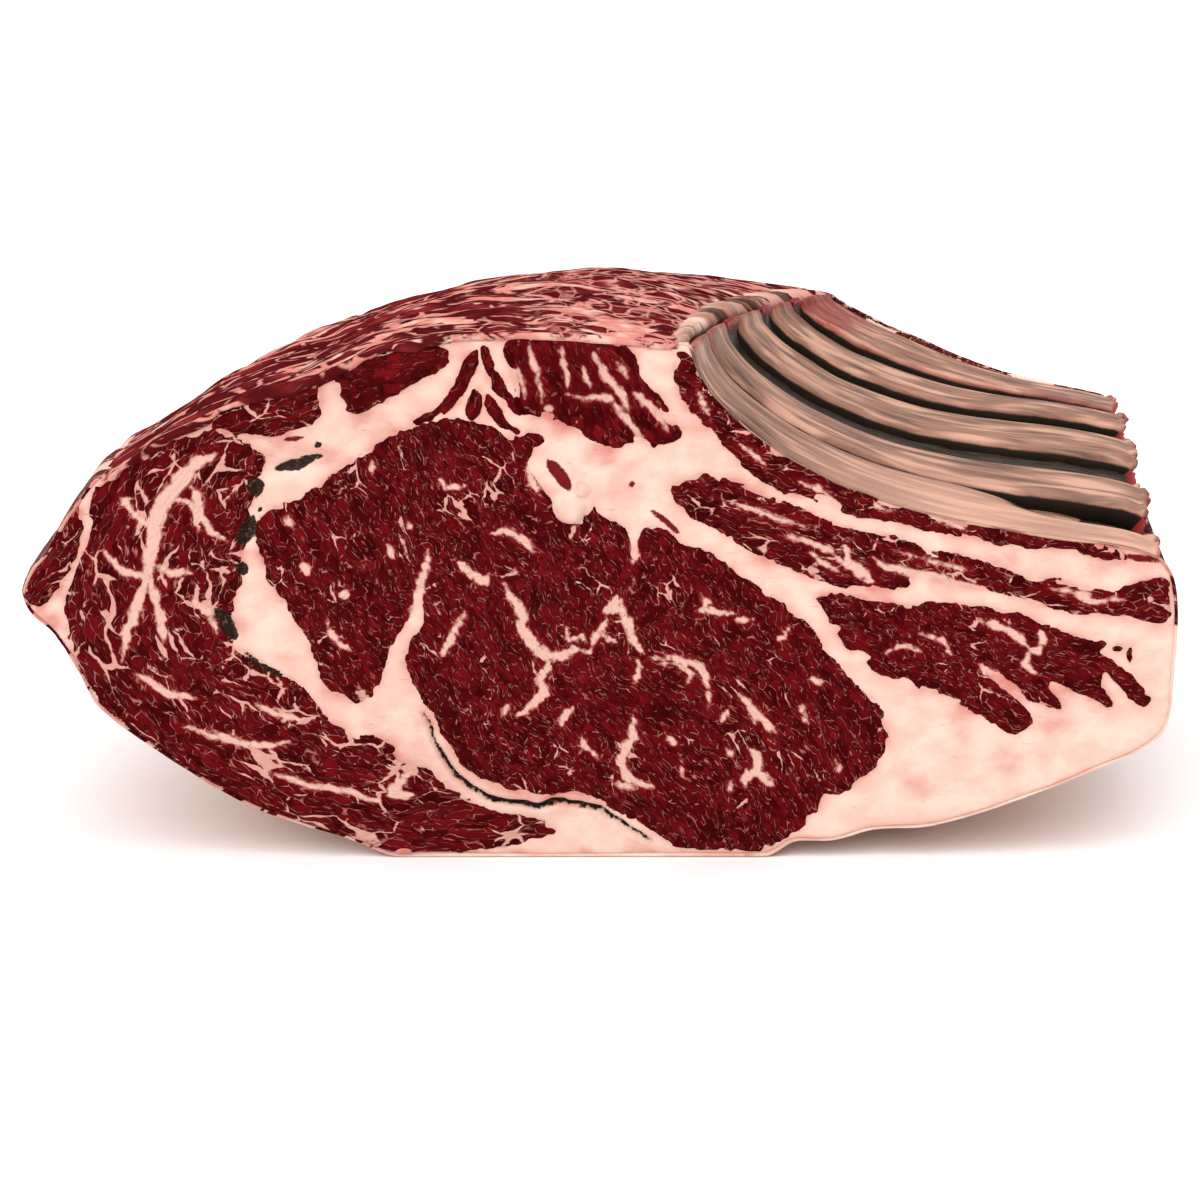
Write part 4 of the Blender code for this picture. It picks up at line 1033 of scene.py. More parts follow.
def skin_stations():
    """Rows across the side: inset, distance back, share, and 1 where it is inside."""
    rims = (6.0, 4.6, 3.2, 2.2, 1.5, 0.9, 0.45, 0.15)
    front = [(inset, float(rim_depth(inset) + 2.4 * smooth(0.2, 1.8, inset)), 0.0, 0.0) for inset in rims]
    front[0] = (6.0, 3.8, 0.0, 0.0)
    straight = DEPTH - 2 * EDGE_ROUND
    marks = [(back - EDGE_ROUND) / straight for back in BED_RIMS]
    shares = np.sort(np.concatenate([np.linspace(0.0, 1.0, 112), marks]))
    sides = [(0.0, EDGE_ROUND + share * straight, share, 0.0) for share in shares]
    back = [(inset, DEPTH - deep, 1.0, 0.0) for inset, deep, _, _ in reversed(front)]
    inner = [(7.0, DEPTH - 6.0, 0.97, 1.0), (7.0, 0.5 * DEPTH, 0.5, 1.0), (7.0, 6.0, 0.03, 1.0)]
    return np.array(front + sides + back + inner)


def skin_grid(count):
    """Grids over the skin: outline place, inset, distance back and the regions of the outline."""
    stations = skin_stations()
    grid = SimpleNamespace()
    grid.place, grid.inset = np.meshgrid(even_places(count), stations[:, 0])
    grid.back, grid.share, grid.inside = (
        np.repeat(stations[:, [column]], count, axis=1) for column in (1, 2, 3))
    row = outline_row(grid.place)
    grid.front_x, grid.front_z = row[..., 0], row[..., 1]
    grid.ribs = rib_side_share(grid.place)
    grid.layer = window(
        grid.place, KEY_LEFT_LAYER - 0.2, KEY_LEFT_LAYER + 0.3, KEY_CREST - 0.9, KEY_CREST - 0.3)
    grid.crest = window(grid.place, KEY_CREST - 1.0, KEY_CREST - 0.3, KEY_CREST + 0.6, KEY_CREST + 1.4)
    grid.inset = grid.inset + SHELL_UNDER_RIBS * grid.inside * grid.ribs
    x, z = (line[0] for line in outline_at(grid.place, grid.share))
    length = np.cumsum(np.hypot(np.diff(x, prepend=x[0]), np.diff(z, prepend=z[0])))
    grid.run = np.repeat(length[None, :], len(stations), axis=0)
    return grid


def skin_surface(grid):
    """Points of the skin: the outline with low relief, lower under the top layer and the ribs."""
    place, share, back = grid.place, grid.share, grid.back
    outer = 1.0 - grid.inside
    grain = cloud(grid.run / 9.0, back / 7.0, 71.0) + 0.5 * cloud(grid.run / 3.1, back / 2.6, 72.0)
    grain = grain * smooth(1.0, 12.0, grid.front_z) * outer
    covered = grid.layer * outer
    ridges = grid.crest * outer * (cloud(back / 3.6, grid.run / 26.0, 80.0) - 0.6)
    out = side_swell(place, share) * outer - 0.45 * grain + 2.2 * ridges - 2.6 * covered - grid.inset
    x, z = outline_at(place, share)
    x, z = scaled(x, z, 1.0 + out / from_centre(x, z))
    normal_x, normal_z = outline_normal(place, share)
    upright = smooth(KEY_RIB_END - 1.5, KEY_RIB_END + 0.3, place)
    normal_x = normal_x * (1.0 - upright) + 0.12 * upright
    normal_z = normal_z * (1.0 - upright) + upright
    in_bed = window(back, *BED_RIMS)
    sink = (BED_DEPTH * in_bed + RIB_RIM_DEPTH * (1.0 - in_bed)) * grid.ribs * outer * (grid.inset <= 0.3)
    at_rim = (back < LAYER_RIM) * 1.0 - (back > DEPTH - LAYER_RIM)
    y = FRONT_Y + back + 1.6 * covered * at_rim
    return x - sink * normal_x, y, np.maximum(z - sink * normal_z, 0.0)


def skin_fields(grid, z):
    """Shares of lean, membrane, blush and dark gap on the skin, and its own coordinates."""
    place, back, run, crest = grid.place, grid.back, grid.run, grid.crest
    left = smooth(-118.0, -140.0, grid.front_x)
    near_rim = smooth(20.0, -30.0, grid.front_x) * smooth(0.5, 4.0, grid.front_z)
    near_rim = near_rim * (1.0 - smooth(2.0, 9.0, back))
    rear_rim = grid.ribs * smooth(172.0, 175.0, back)
    rib_ground = window(place, KEY_CREST - 0.1, KEY_CREST + 0.4, KEY_RIB_END - 0.6, KEY_RIB_END + 0.2)
    rib_starts = smooth(KEY_CREST + 0.9, KEY_CREST + 0.5, place) * smooth(45.0, 100.0, back)
    rim = cloud(run / 5.0, (back - grid.inset) / 3.0, 78.0)
    patch = cloud(run / 22.0, back / 9.0, 73.0) + 0.25 * (1.0 - smooth(10.0, 60.0, back))
    patch = patch * smooth(2.0, 8.0, back) + rim * (1.0 - smooth(2.0, 8.0, back))
    height = z + 3.0 * (cloud(back / 9.0, 0.0 * back, 74.0) - 0.5)
    right_side = window(place, KEY_RIB_END + 1.2, KEY_RIB_END + 1.8, KEY_RIB_END + 8.0, KEY_RIB_END + 9.0)
    lean = np.maximum.reduce([
        left * smooth(40.0, 70.0, grid.front_z) * smooth(0.35, 0.6, patch),
        grid.layer * smooth(0.45, 0.62, cloud(run / 12.0, back / 5.0, 75.0)),
        near_rim * smooth(0.42, 0.62, rim),
        right_side * window(height, 68.5, 71.0, 84.0, 86.5),
        rear_rim * smooth(0.3, 0.5, cloud(run / 9.0, back / 4.0, 76.0)),
        rib_ground * (1.0 - smooth(0.8, 2.0, back)),
        rib_ground * rib_starts,
        crest * smooth(0.46, 0.62, cloud(run / 8.0, back / 4.0, 79.0)) * smooth(60.0, 120.0, back),
    ])
    streaky = smooth(0.30, 0.55, cloud(run / 14.0, back / 5.0, 82.0))
    bone = np.maximum(
        rib_ground * (1.0 - rear_rim) * smooth(0.8, 2.0, back) * (1.0 - 0.8 * rib_starts),
        0.8 * crest * streaky * (1.0 - 0.6 * smooth(60.0, 130.0, back)))
    shoulder = window(place, KEY_RIB_END - 1.0, KEY_RIB_END + 0.5, KEY_RIB_END + 2.5, KEY_RIB_END + 4.0)
    blush = 0.5 * smooth(0.5, 0.85, cloud(run / 17.0, back / 15.0, 77.0)) + 0.5 * left + shoulder
    blush = blush + 0.7 * crest * smooth(30.0, 110.0, back) + 0.6 * near_rim
    gap = gap_share(back + 2.0 * (cloud(run / 7.0, back / 20.0, 81.0) - 0.5)) * (1.0 - grid.inside)
    gap = gap * window(place, KEY_CREST - 0.9, KEY_CREST - 0.3, KEY_RIB_END + 1.0, KEY_RIB_END + 3.0)
    past_rim = np.where(back < 0.5 * DEPTH, -grid.inset, grid.inset)
    return {
        "lean": lean.ravel(),
        "bone": np.clip(bone, 0.0, 1.0).ravel(),
        "blush": np.clip(blush, 0.0, 1.0).ravel(),
        "gap": gap.ravel(),
        "fibre": np.stack([run, back + past_rim, place], axis=-1).reshape(-1, 3),
    }


def make_skin(count, finish):
    """The outside of the roast as a closed shell.

    Rings follow the outline at each distance back; the rib side drops into a
    shallow bed, and the shell returns on the inside to the first ring.
    """
    grid = skin_grid(count)
    x, y, z = skin_surface(grid)
    spot = np.arange(count)
    after_spot = np.roll(spot, -1)
    first = np.arange(len(x))[:, None] * count
    second = np.roll(first, -1, axis=0)
    quads = np.stack([first + spot, first + after_spot, second + after_spot, second + spot], axis=-1)
    points = np.stack([x, y, z], axis=-1).reshape(-1, 3)
    fields = skin_fields(grid, z)
    return make_piece("outside_fat", points, quads.reshape(-1, 4), fields, finish, ["fat_body"])


def gap_share(back):
    """One where the distance back lies between two ribs that have an open gap, else zero."""
    share = 0.0 * back
    for (_, start), (end, _) in zip(RIB_EDGES[1:-1], RIB_EDGES[2:]):
        share = share + window(back, start - 1.0, start + 1.0, end - 1.0, end + 1.0)
    return share


def layer_profile(pitch):
    """Rows over the top: inset and extra depth at a rim, distance back, rim side, path."""
    rims = ((2.4, 3.4), (1.6, 0.7), (1.0, 0.1), (0.55, 0.0), (0.2, 0.0))
    front = [(inset, extra, 0.0, -1.0) for inset, extra in rims]
    middle = [(0.0, 0.0, back, 0.0) for back in np.arange(EDGE_ROUND, DEPTH - EDGE_ROUND + 0.1, pitch)]
    rear = [(inset, extra, DEPTH, 1.0) for inset, extra in reversed(rims)]
    rows = np.array(front + middle + rear)
    back = rows[:, 2] - rows[:, 3] * rim_depth(rows[:, 0])
    steps = np.hypot(np.diff(rows[:, 0], prepend=rows[0, 0]), np.diff(back, prepend=back[0]))
    return rows, np.cumsum(steps)


def layer_grid(pitch):
    """Grids over the top layer: run across it, path over it, place, rim, inset and distance back."""
    keys = np.linspace(KEY_LEFT_LAYER, KEY_CREST - 0.45, 400)
    line_x, line_z = outline_at(keys, 0.0 * keys)
    steps = np.hypot(np.diff(line_x, prepend=line_x[0]), np.diff(line_z, prepend=line_z[0]))
    length = np.cumsum(steps)
    runs = np.arange(0.0, length[-1], pitch)
    rows, paths = layer_profile(pitch)
    grid = SimpleNamespace()
    grid.run, grid.path = np.meshgrid(runs, paths)
    inset, extra, back, grid.rim = (np.repeat(rows[:, [column]], len(runs), axis=1) for column in range(4))
    grid.place = np.repeat(np.interp(runs, length, keys)[None, :], len(rows), axis=0)
    hang = cloud(grid.run / 6.5, 0.0 * grid.run, 90.0)
    grid.inset = inset * (1.1 + (0.4 + 1.6 * (1.0 - smooth(12.0, 15.0, grid.place))) * hang)
    grid.back = back - grid.rim * (rim_depth(grid.inset) + extra)
    grid.ends = np.minimum(grid.run, length[-1] - grid.run)
    grid.ends = grid.ends + 3.4 * (cloud(grid.run / 5.0, grid.path / 3.0, 85.0) - 0.5)
    grid.wave = 7.0 * cloud(grid.run / 19.0, grid.path / 26.0, 81.0)
    grid.wave = grid.wave + 2.6 * cloud(grid.run / 6.0, grid.path / 9.0, 82.0)
    return grid


def layer_depth(grid):
    """How far the top layer lies below the outline: strands, lobes, lumps and thin ends."""
    strand = cloud(grid.run / 15.0, (grid.path + grid.wave) / 2.3, 83.0)
    lobe = cloud(grid.run / 7.0, (grid.path + grid.wave) / 4.2, 84.0)
    lump = cloud(grid.run / 9.0, grid.path / 7.0, 88.0)
    low = 0.1 + 0.5 * strand + 0.45 * lobe + 0.7 * lump + 2.2 * np.exp(-np.maximum(grid.ends, 0.0) / 1.8)
    low = np.minimum(low + 0.5 * np.maximum(-grid.ends, 0.0), 2.8)
    return np.where(grid.inset < 0.1, low, 0.4)


def layer_fields(grid, x):
    """Paleness, scales and fat ends of the top layer, and its own coordinates."""
    run, path, back, inset = grid.run, grid.path, grid.back, grid.inset
    pale = smooth(-60.0, -100.0, x) * smooth(40.0, 120.0, back)
    pale = pale + 0.5 * smooth(130.0, 172.0, back) * cloud(run / 20.0, path / 12.0, 86.0)
    pale = pale + 0.75 * smooth(0.64, 0.78, cloud(run / 16.0, path / 9.0, 87.0))
    near_front = 1.0 - smooth(2.0, 3.4 + 3.0 * cloud(run / 5.0, 0.0 * run, 89.0), path)
    edge = np.minimum(grid.ends, 8.0 - near_front * (3.0 + 4.6 * smooth(-62.0, -38.0, x)))
    across = np.where(grid.rim < 0.0, -inset, np.where(grid.rim > 0.0, DEPTH + inset, back))
    return {
        "pale": np.clip(pale, 0.0, 1.0),
        "scale": smooth(-30.0, 5.0, x),
        "edge": edge,
        "fibre": np.stack([run, across + grid.wave, 0.0 * run], axis=-1),
    }


def make_top_layer(pitch, finish):
    """The thin lean layer over the top.

    Outer points lie on the outline, lowered by wavy ridges that run along the
    roast, and curl over both rims; inner points lie a set thickness below.
    """
    grid = layer_grid(pitch)
    share = np.clip((grid.back - EDGE_ROUND) / (DEPTH - 2 * EDGE_ROUND), 0.0, 1.0)
    x, z = outline_at(grid.place, share)
    reach = from_centre(x, z)
    out = side_swell(grid.place, share) - layer_depth(grid) - grid.inset
    outer_x, outer_z = scaled(x, z, 1.0 + out / reach)
    inner_x, inner_z = scaled(x, z, 1.0 - (LAYER_THICKNESS + grid.inset) / reach)
    inner_back = np.clip(grid.back, LAYER_INNER_RIM, DEPTH - LAYER_INNER_RIM)
    outer = np.stack([outer_x, FRONT_Y + grid.back, outer_z], axis=-1)
    inner = np.stack([inner_x, FRONT_Y + inner_back, inner_z], axis=-1)
    used, quads, borders = cell_faces(np.ones((x.shape[0] - 1, x.shape[1] - 1), dtype=bool))
    points, faces = layered_body([outer[used], inner[used]], quads, borders)
    fields = {name: np.concatenate([values[used]] * 2) for name, values in layer_fields(grid, x).items()}
    return make_piece("top_lean", points, faces, fields, finish, ["top_layer"])


def rib_place(share_along):
    """Places on the outline from the crest to the rib ends."""
    return KEY_CREST + 0.1 + (KEY_RIB_END + 0.55 - KEY_CREST) * share_along


def rib_point(share_along, back, height):
    """A point a set height over the rib side, at a distance back."""
    share = back / DEPTH
    place = rib_place(share_along)
    x, z = outline_at(place, share)
    normal_x, normal_z = outline_normal(place, share)
    return np.stack([x + height * normal_x, FRONT_Y + back, z + height * normal_z], axis=-1)


def closed_tube(points, fields):
    """Close a grid of stations and section points: walls round, a fan at each end."""
    stations, count = points.shape[:2]
    start = points[0].mean(axis=0)
    end = points[-1].mean(axis=0)
    body = np.vstack([points.reshape(-1, 3), start, end])
    station = np.arange(stations - 1)[:, None] * count
    spot = np.arange(count)
    after = np.roll(spot, -1)
    beyond = station + count
    quads = np.stack([station + spot, station + after, beyond + after, beyond + spot], axis=-1)
    last = (stations - 1) * count
    total = stations * count
    caps = np.vstack([
        np.stack([np.full(count, total), after, spot], axis=1),
        np.stack([np.full(count, total + 1), last + spot, last + after], axis=1),
    ])
    joined = {}
    for name, values in fields.items():
        flat = values.reshape(stations * count, *values.shape[2:])
        joined[name] = np.concatenate([flat, values[0, :1], values[-1, :1]])
    return body, quads.reshape(-1, 4), caps, joined


def rib_tube(share_along, spot, height, floor_spot, floor_height):
    """Points of a tube on the rib side with two floor corners, and where each point lies."""
    along = np.repeat(share_along[:, :1], 2, axis=1)
    top = rib_point(share_along, spot, height)
    floor = rib_point(along, floor_spot, floor_height)
    place_along = np.concatenate([share_along, along], axis=1)
    place_across = np.concatenate([spot, floor_spot], axis=1)
    return np.concatenate([top, floor], axis=1), place_along, place_across


def rib_lines(number, along):
    """Front and back edge of a rib at each station, a little uneven."""
    front, back = RIB_EDGES[number - 1]
    if number > 1:
        wander = [1.1 * (cloud(along * 9.0, 0.0 * along, seed + number) - 0.5) for seed in (91.0, 97.0)]
        return front + wander[0], back + wander[1]
    wedge = smooth(MEMBRANE_END, MEMBRANE_END + 0.2, along)
    wide = MEMBRANE_EDGE + 0.8
    return front + 1.3 * cloud(along * 24.0, 0.0 * along, 92.0), wide - (wide - back) * wedge


def rib_height(number, along, part, spot, width):
    """Height of a rib's top over the rib side: a dome with streaks, round ends and knobs."""
    side = np.minimum(part, 1.0 - part) * width
    height = 0.55 * np.sin(math.pi * part) - 2.6 * np.exp(-side / 0.9) - 0.9 * smooth(0.6, 1.0, part)
    height = height - 0.3 * cloud(along * 9.0, spot / 1.25, 101.0 + number)
    height = height - 0.6 * cloud(along * 5.0, spot / 4.5, 103.0 + number)
    height = height - 2.2 * smooth(0.955, 0.975, along) * (1.0 - np.sin(math.pi * part))
    height = height - 2.5 * (1.0 - smooth(0.0, 0.012, along))
    knob = cloud(spot / 3.0, along * 50.0, 107.0 + number)
    height = height + 1.6 * smooth(0.93, 0.95, along) * smooth(0.3, 0.8, knob)
    if number == 1:
        height = height - 5.6 * smooth(MEMBRANE_END + 0.01, 0.88, along) * smooth(0.35, 1.0, part)
        height = height + 2.4 * np.exp(-part * width / 0.9)
    return height


def make_rib(number, finish):
    """One rib as a tube: a softly domed top with lengthwise streaks, square below."""
    along = np.linspace(0.0, RIB_END, RIB_STATIONS)
    share_along, part = np.meshgrid(along, np.linspace(0.0, 1.0, RIB_TOP_POINTS), indexing="ij")
    front_line, back_line = rib_lines(number, along)
    width = (back_line - front_line)[:, None]
    spot = front_line[:, None] + part * width
    height = rib_height(number, share_along, part, spot, width)
    floor_spot = np.stack([back_line, front_line], axis=1)
    floor_height = np.full(floor_spot.shape, -RIB_THICKNESS)
    # How low each point lies below the rib side; the finish paints low points dark as shade in the grooves.
    low_top = np.clip(-height - 1.0, 0.0, RIB_LOWEST)
    low_floor = np.full(floor_spot.shape, RIB_LOWEST)
    if number == 1:
        floor_height[:, 1] = -1.8
        floor_spot[:, 1] = front_line + 0.6
        low_top = low_top * smooth(0.3, 0.8, part)
        low_floor[:, 1] = 0.0
    if number == len(RIB_EDGES):
        low_top = low_top * smooth(0.7, 0.4, part)
        low_floor[:, 0] = 0.0
    points, place_along, place_across = rib_tube(share_along, spot, height, floor_spot, floor_height)
    rear = smooth(95.0, 165.0, place_across)
    start = (1.0 - smooth(0.0, 0.05, place_along)) + 0.9 * rear * (1.0 - smooth(0.05, 0.34, place_along))
    deep = np.full(place_along.shape, RIB_PATTERN * number)
    fields = {
        # low: depth into the grooves, painted dark as shade.
        "low": np.concatenate([low_top, low_floor], axis=1),
        "ends": np.clip(smooth(0.93, RIB_END, place_along) + start, 0.0, 1.0),
        "rear": rear,
        "pale": (1.0 - smooth(20.0, 45.0, place_across)) * smooth(0.25, 0.6, place_along),
        "fibre": np.stack([place_along * RIB_SIDE_LENGTH, place_across, deep], axis=-1),
    }
    body, quads, caps, fields = closed_tube(points, fields)
    node = "rib_" + str(number)
    return make_piece(node + "_bone", body, quads, fields, finish, [node], caps)


def make_groove(number, finish):
    """The dark tissue between two ribs as a tube with a lightly ridged top."""
    front = RIB_EDGES[number - 1][1] - RIB_OVERLAP
    back = RIB_EDGES[number][0] + RIB_OVERLAP
    first = MEMBRANE_END - 0.02 if number == 1 else 0.004
    along = np.linspace(first, GROOVE_END, GROOVE_STATIONS)
    share_along, part = np.meshgrid(along, np.linspace(0.0, 1.0, GROOVE_TOP_POINTS), indexing="ij")
    spot = front + part * (back - front)
    depth = FIRST_GROOVE_DEPTH if number == 1 else GROOVE_DEPTH
    ridge = cloud(share_along * 30.0, spot / 1.4, 111.0 + number)
    height = -depth + 0.5 * np.sin(math.pi * part) + 0.7 * ridge
    if number > 1:
        height = height + (depth - 1.0) * (1.0 - smooth(first, first + 0.10, share_along))
    fill = smooth(0.925, 0.955, share_along) * (0.75 + 0.25 * cloud(spot / 2.5, 60.0 * share_along, 119.0))
    height = height + (depth - 1.6) * fill - 2.4 * smooth(0.955, GROOVE_END, share_along)
    floor_spot = np.repeat(np.array([[back, front]]), len(along), axis=0)
    floor_height = np.full(floor_spot.shape, -RIB_THICKNESS)
    points, place_along, place_across = rib_tube(share_along, spot, height, floor_spot, floor_height)
    start = 1.0 - smooth(0.02, 0.08, place_along) if number > 1 else 0.0
    deep = np.full(place_along.shape, GROOVE_PATTERN)
    fields = {
        "ends": np.clip(smooth(0.915, 0.945, place_along) + start, 0.0, 1.0),
        "fibre": np.stack([place_along * RIB_SIDE_LENGTH, place_across, deep], axis=-1),
    }
    body, quads, caps, fields = closed_tube(points, fields)
    name = "groove_" + str(number) + "_tissue"
    node = "groove_strap_" + str(number)
    return make_piece(name, body, quads, fields, finish, [node], caps)


class Pen:
    """Short calls for drawing one material's nodes; noise and cell sizes are in millimetres."""

    def __init__(self, name):
        self.finish = bpy.data.materials.new(name)
        self.finish.use_nodes = True
        self.tree = self.finish.node_tree
        self.shader = self.tree.nodes["Principled BSDF"]

    def node(self, kind, **settings):
        made = self.tree.nodes.new(kind)
        for name, value in settings.items():
            setattr(made, name, value)
        return made

    def feed(self, socket, value):
        if isinstance(value, bpy.types.NodeSocket):
            self.tree.links.new(value, socket)
        else:
            socket.default_value = value

    def field(self, name, vector=False):
        made = self.node("ShaderNodeAttribute", attribute_name=name)
        return made.outputs["Vector" if vector else "Fac"]

    def math(self, operation, first, second=0.0, clamp=False):
        made = self.node("ShaderNodeMath", operation=operation, use_clamp=clamp)
        self.feed(made.inputs[0], first)
        self.feed(made.inputs[1], second)
        return made.outputs[0]

    def plus(self, first, second, clamp=False):
        return self.math("ADD", first, second, clamp)

    def minus(self, first, second):
        return self.math("SUBTRACT", first, second)

    def times(self, first, second):
        return self.math("MULTIPLY", first, second)

    def larger(self, first, second):
        return self.math("MAXIMUM", first, second)

    def vector(self, operation, first, second, output="Vector"):
        made = self.node("ShaderNodeVectorMath", operation=operation)
        self.feed(made.inputs[0], first)
        self.feed(made.inputs[1], second)
        return made.outputs[output]

    def noise(self, place, size, detail=2.0, rough=0.5, colour=False):
        made = self.node("ShaderNodeTexNoise", noise_dimensions="3D")
        sizes = tuple(1.0 / one for one in size)
        self.feed(made.inputs["Vector"], self.vector("MULTIPLY", place, sizes))
        made.inputs["Scale"].default_value = 1.0
        made.inputs["Detail"].default_value = detail
        made.inputs["Roughness"].default_value = rough
        return made.outputs["Color" if colour else "Fac"]

    def rag(self, place, size, detail=2.0, rough=0.5):
        """Noise about zero, for ragged borders."""
        return self.minus(self.noise(place, size, detail, rough), 0.5)

    def bend(self, place, size, amount):
        """Shift a place to and fro by soft noise."""
        turn = self.noise(place, size, 2.0, 0.5, colour=True)
        turn = self.vector("MULTIPLY", self.vector("SUBTRACT", turn, (0.5, 0.5, 0.5)), amount)
        return self.vector("ADD", place, turn)

    def cells(self, place, size, edge=True):
        made = self.node("ShaderNodeTexVoronoi", voronoi_dimensions="3D")
        made.feature = "DISTANCE_TO_EDGE" if edge else "F1"
        sizes = tuple(1.0 / one for one in size)
        self.feed(made.inputs["Vector"], self.vector("MULTIPLY", place, sizes))
        made.inputs["Scale"].default_value = 1.0
        return made.outputs["Distance" if edge else "Color"]

    def spread(self, value, low, high, start=0.0, end=1.0):
        made = self.node("ShaderNodeMapRange", interpolation_type="SMOOTHSTEP")
        self.feed(made.inputs["Value"], value)
        self.feed(made.inputs["From Min"], low)
        self.feed(made.inputs["From Max"], high)
        made.inputs["To Min"].default_value = start
        made.inputs["To Max"].default_value = end
        return made.outputs["Result"]

    def blend(self, share, first, second):
        made = self.node("ShaderNodeMix", data_type="RGBA")
        self.feed(made.inputs["Factor"], share)
        self.feed(made.inputs[6], first)
        self.feed(made.inputs[7], second)
        return made.outputs[2]

    def bump(self, height, strength, distance):
        made = self.node("ShaderNodeBump")
        made.inputs["Strength"].default_value = strength
        made.inputs["Distance"].default_value = distance
        self.feed(made.inputs["Height"], height)
        self.feed(self.shader.inputs["Normal"], made.outputs["Normal"])

    def end(self, colour, rough, gloss, subsurface=0.0):
        self.feed(self.shader.inputs["Base Color"], colour)
        self.feed(self.shader.inputs["Roughness"], rough)
        self.shader.inputs["Specular IOR Level"].default_value = gloss
        self.shader.inputs["Subsurface Weight"].default_value = subsurface
        self.shader.inputs["Subsurface Radius"].default_value = GLOW_RADIUS
        self.shader.inputs["Subsurface Scale"].default_value = GLOW_SCALE
        return self.finish


def rgba(colour):
    """A property colour with full opacity."""
    return (colour[0], colour[1], colour[2], 1.0)


def lean_colours(pen, colours, place, rich, vein):
    """Marbled lean: red bundles, a broken net of cream lines, hairs and painted veins; the pale hairs,
    scratches and blots stand partly for fine fat, partly for painted glints of the wet surface.
    """
    bent = pen.bend(place, (9.0, 9.0, 9.0), (7.0, 7.0, 0.0))
    patch = pen.noise(place, (13.0, 8.0, 9.0), 2.0, 0.5)
    patch = pen.plus(patch, pen.times(rich, 0.36))
    width = pen.minus(pen.spread(patch, 0.62, 1.12, 0.0, 0.21), 0.016)
    ragged = pen.rag(place, (1.6, 1.3, 1.6), 2.0)
    island = pen.plus(pen.cells(bent, (8.6, 4.0, 9.0)), pen.times(ragged, 0.16))
    net = pen.spread(pen.minus(island, width), 0.0, -0.035)
    small = pen.cells(bent, (4.0, 1.7, 7.0))
    tone = pen.cells(bent, (4.0, 1.7, 7.0), edge=False)
    tone = pen.vector("DOT_PRODUCT", tone, (0.4, 0.3, 0.3), "Value")
    broken = pen.noise(place, (2.4, 1.6, 3.0), 1.0, 0.5)
    start = pen.minus(0.57, pen.times(rich, 0.2))
    often = pen.spread(rich, -0.05, 0.45, 0.45, 1.0)
    hair_and_glint = pen.times(pen.spread(small, 0.050, 0.010), pen.spread(broken, start, 0.66))
    scratch = pen.noise(bent, (3.4, 0.36, 3.0), 0.0, 0.5)
    scratch = pen.times(pen.spread(scratch, 0.68, 0.80), pen.spread(broken, 0.62, 0.40))
    scratch = pen.times(scratch, pen.spread(rich, 0.3, 0.8, 1.0, 0.3))
    blot = pen.spread(pen.noise(place, (3.0, 1.8, 5.0), 2.0, 0.5), 0.66, 0.80, 0.0, 0.4)
    wide = pen.rag(place, (3.2, 2.2, 3.2), 2.0)
    wide = pen.plus(pen.times(wide, 3.2), pen.times(ragged, 1.4))
    painted = pen.spread(pen.plus(vein, wide), 0.45, -0.65)
    glow = pen.spread(pen.plus(vein, wide), 2.0, 0.0, 0.0, 0.8)
    share = pen.larger(painted, pen.times(net, 0.92))
    # Hairs, scratches and blots: fine fat, and painted glints of the wet surface.
    fine = pen.larger(pen.times(hair_and_glint, 0.72), pen.times(scratch, 0.60))
    fine = pen.larger(pen.times(fine, often), blot)
    light = pen.plus(pen.times(pen.noise(place, (7.0, 5.0, 9.0), 2.0), 0.6),
                     pen.times(tone, 0.5))
    red = pen.blend(pen.spread(light, 0.3, 0.85), rgba(colours.lean_deep), rgba(colours.lean_bright))
    red = pen.blend(pen.spread(small, 0.14, 0.0, 0.0, 0.5), red, rgba(colours.lean_shade))
    red = pen.blend(glow, red, rgba(colours.lean_bright))
    # Pale pink flecks: fine fat, and painted glints.
    red = pen.blend(fine, red, rgba(colours.hair_and_glint))
    pale = pen.blend(pen.times(painted, pen.spread(patch, 0.3, 0.6, 0.35, 1.0)),
                     rgba(colours.marbling), rgba(colours.vein))
    return pen.blend(share, red, pale), share, small


def darken(pen, colours, colour, dark, place):
    """Lay the dark dried marks and the painted shade of the crevice over a colour: near black, specked with
    brown.
    """
    rough = pen.rag(place, (2.4, 1.8, 2.4), 4.0, 0.6)
    mark = pen.spread(pen.plus(dark, pen.times(rough, 2.0)), 0.25, -0.15)
    speck = pen.spread(pen.noise(place, (1.7, 1.0, 1.7), 3.0, 0.6), 0.52, 0.76)
    dried = pen.blend(speck, rgba(colours.dried), rgba(colours.dried_brown))
    return pen.blend(mark, colour, dried)


def fat_colours(pen, colours, place, blush):
    """Fat: cream with a pink cast, faint fibres and small red threads."""
    soft = pen.noise(place, (9.0, 7.0, 9.0), 3.0, 0.55)
    fine = pen.noise(place, (1.5, 1.2, 1.5), 2.0, 0.5)
    colour = pen.blend(pen.spread(soft, 0.3, 0.7), rgba(colours.fat_cream), rgba(colours.fat_pink))
    thread = pen.noise(place, (5.0, 0.8, 3.0), 2.0, 0.6)
    thread = pen.times(pen.spread(thread, 0.64, 0.76), 0.45)
    tint = pen.plus(pen.times(blush, pen.spread(soft, 0.2, 0.8, 0.4, 1.0)), thread, clamp=True)
    return pen.blend(tint, colour, rgba(colours.fat_blush)), soft, fine


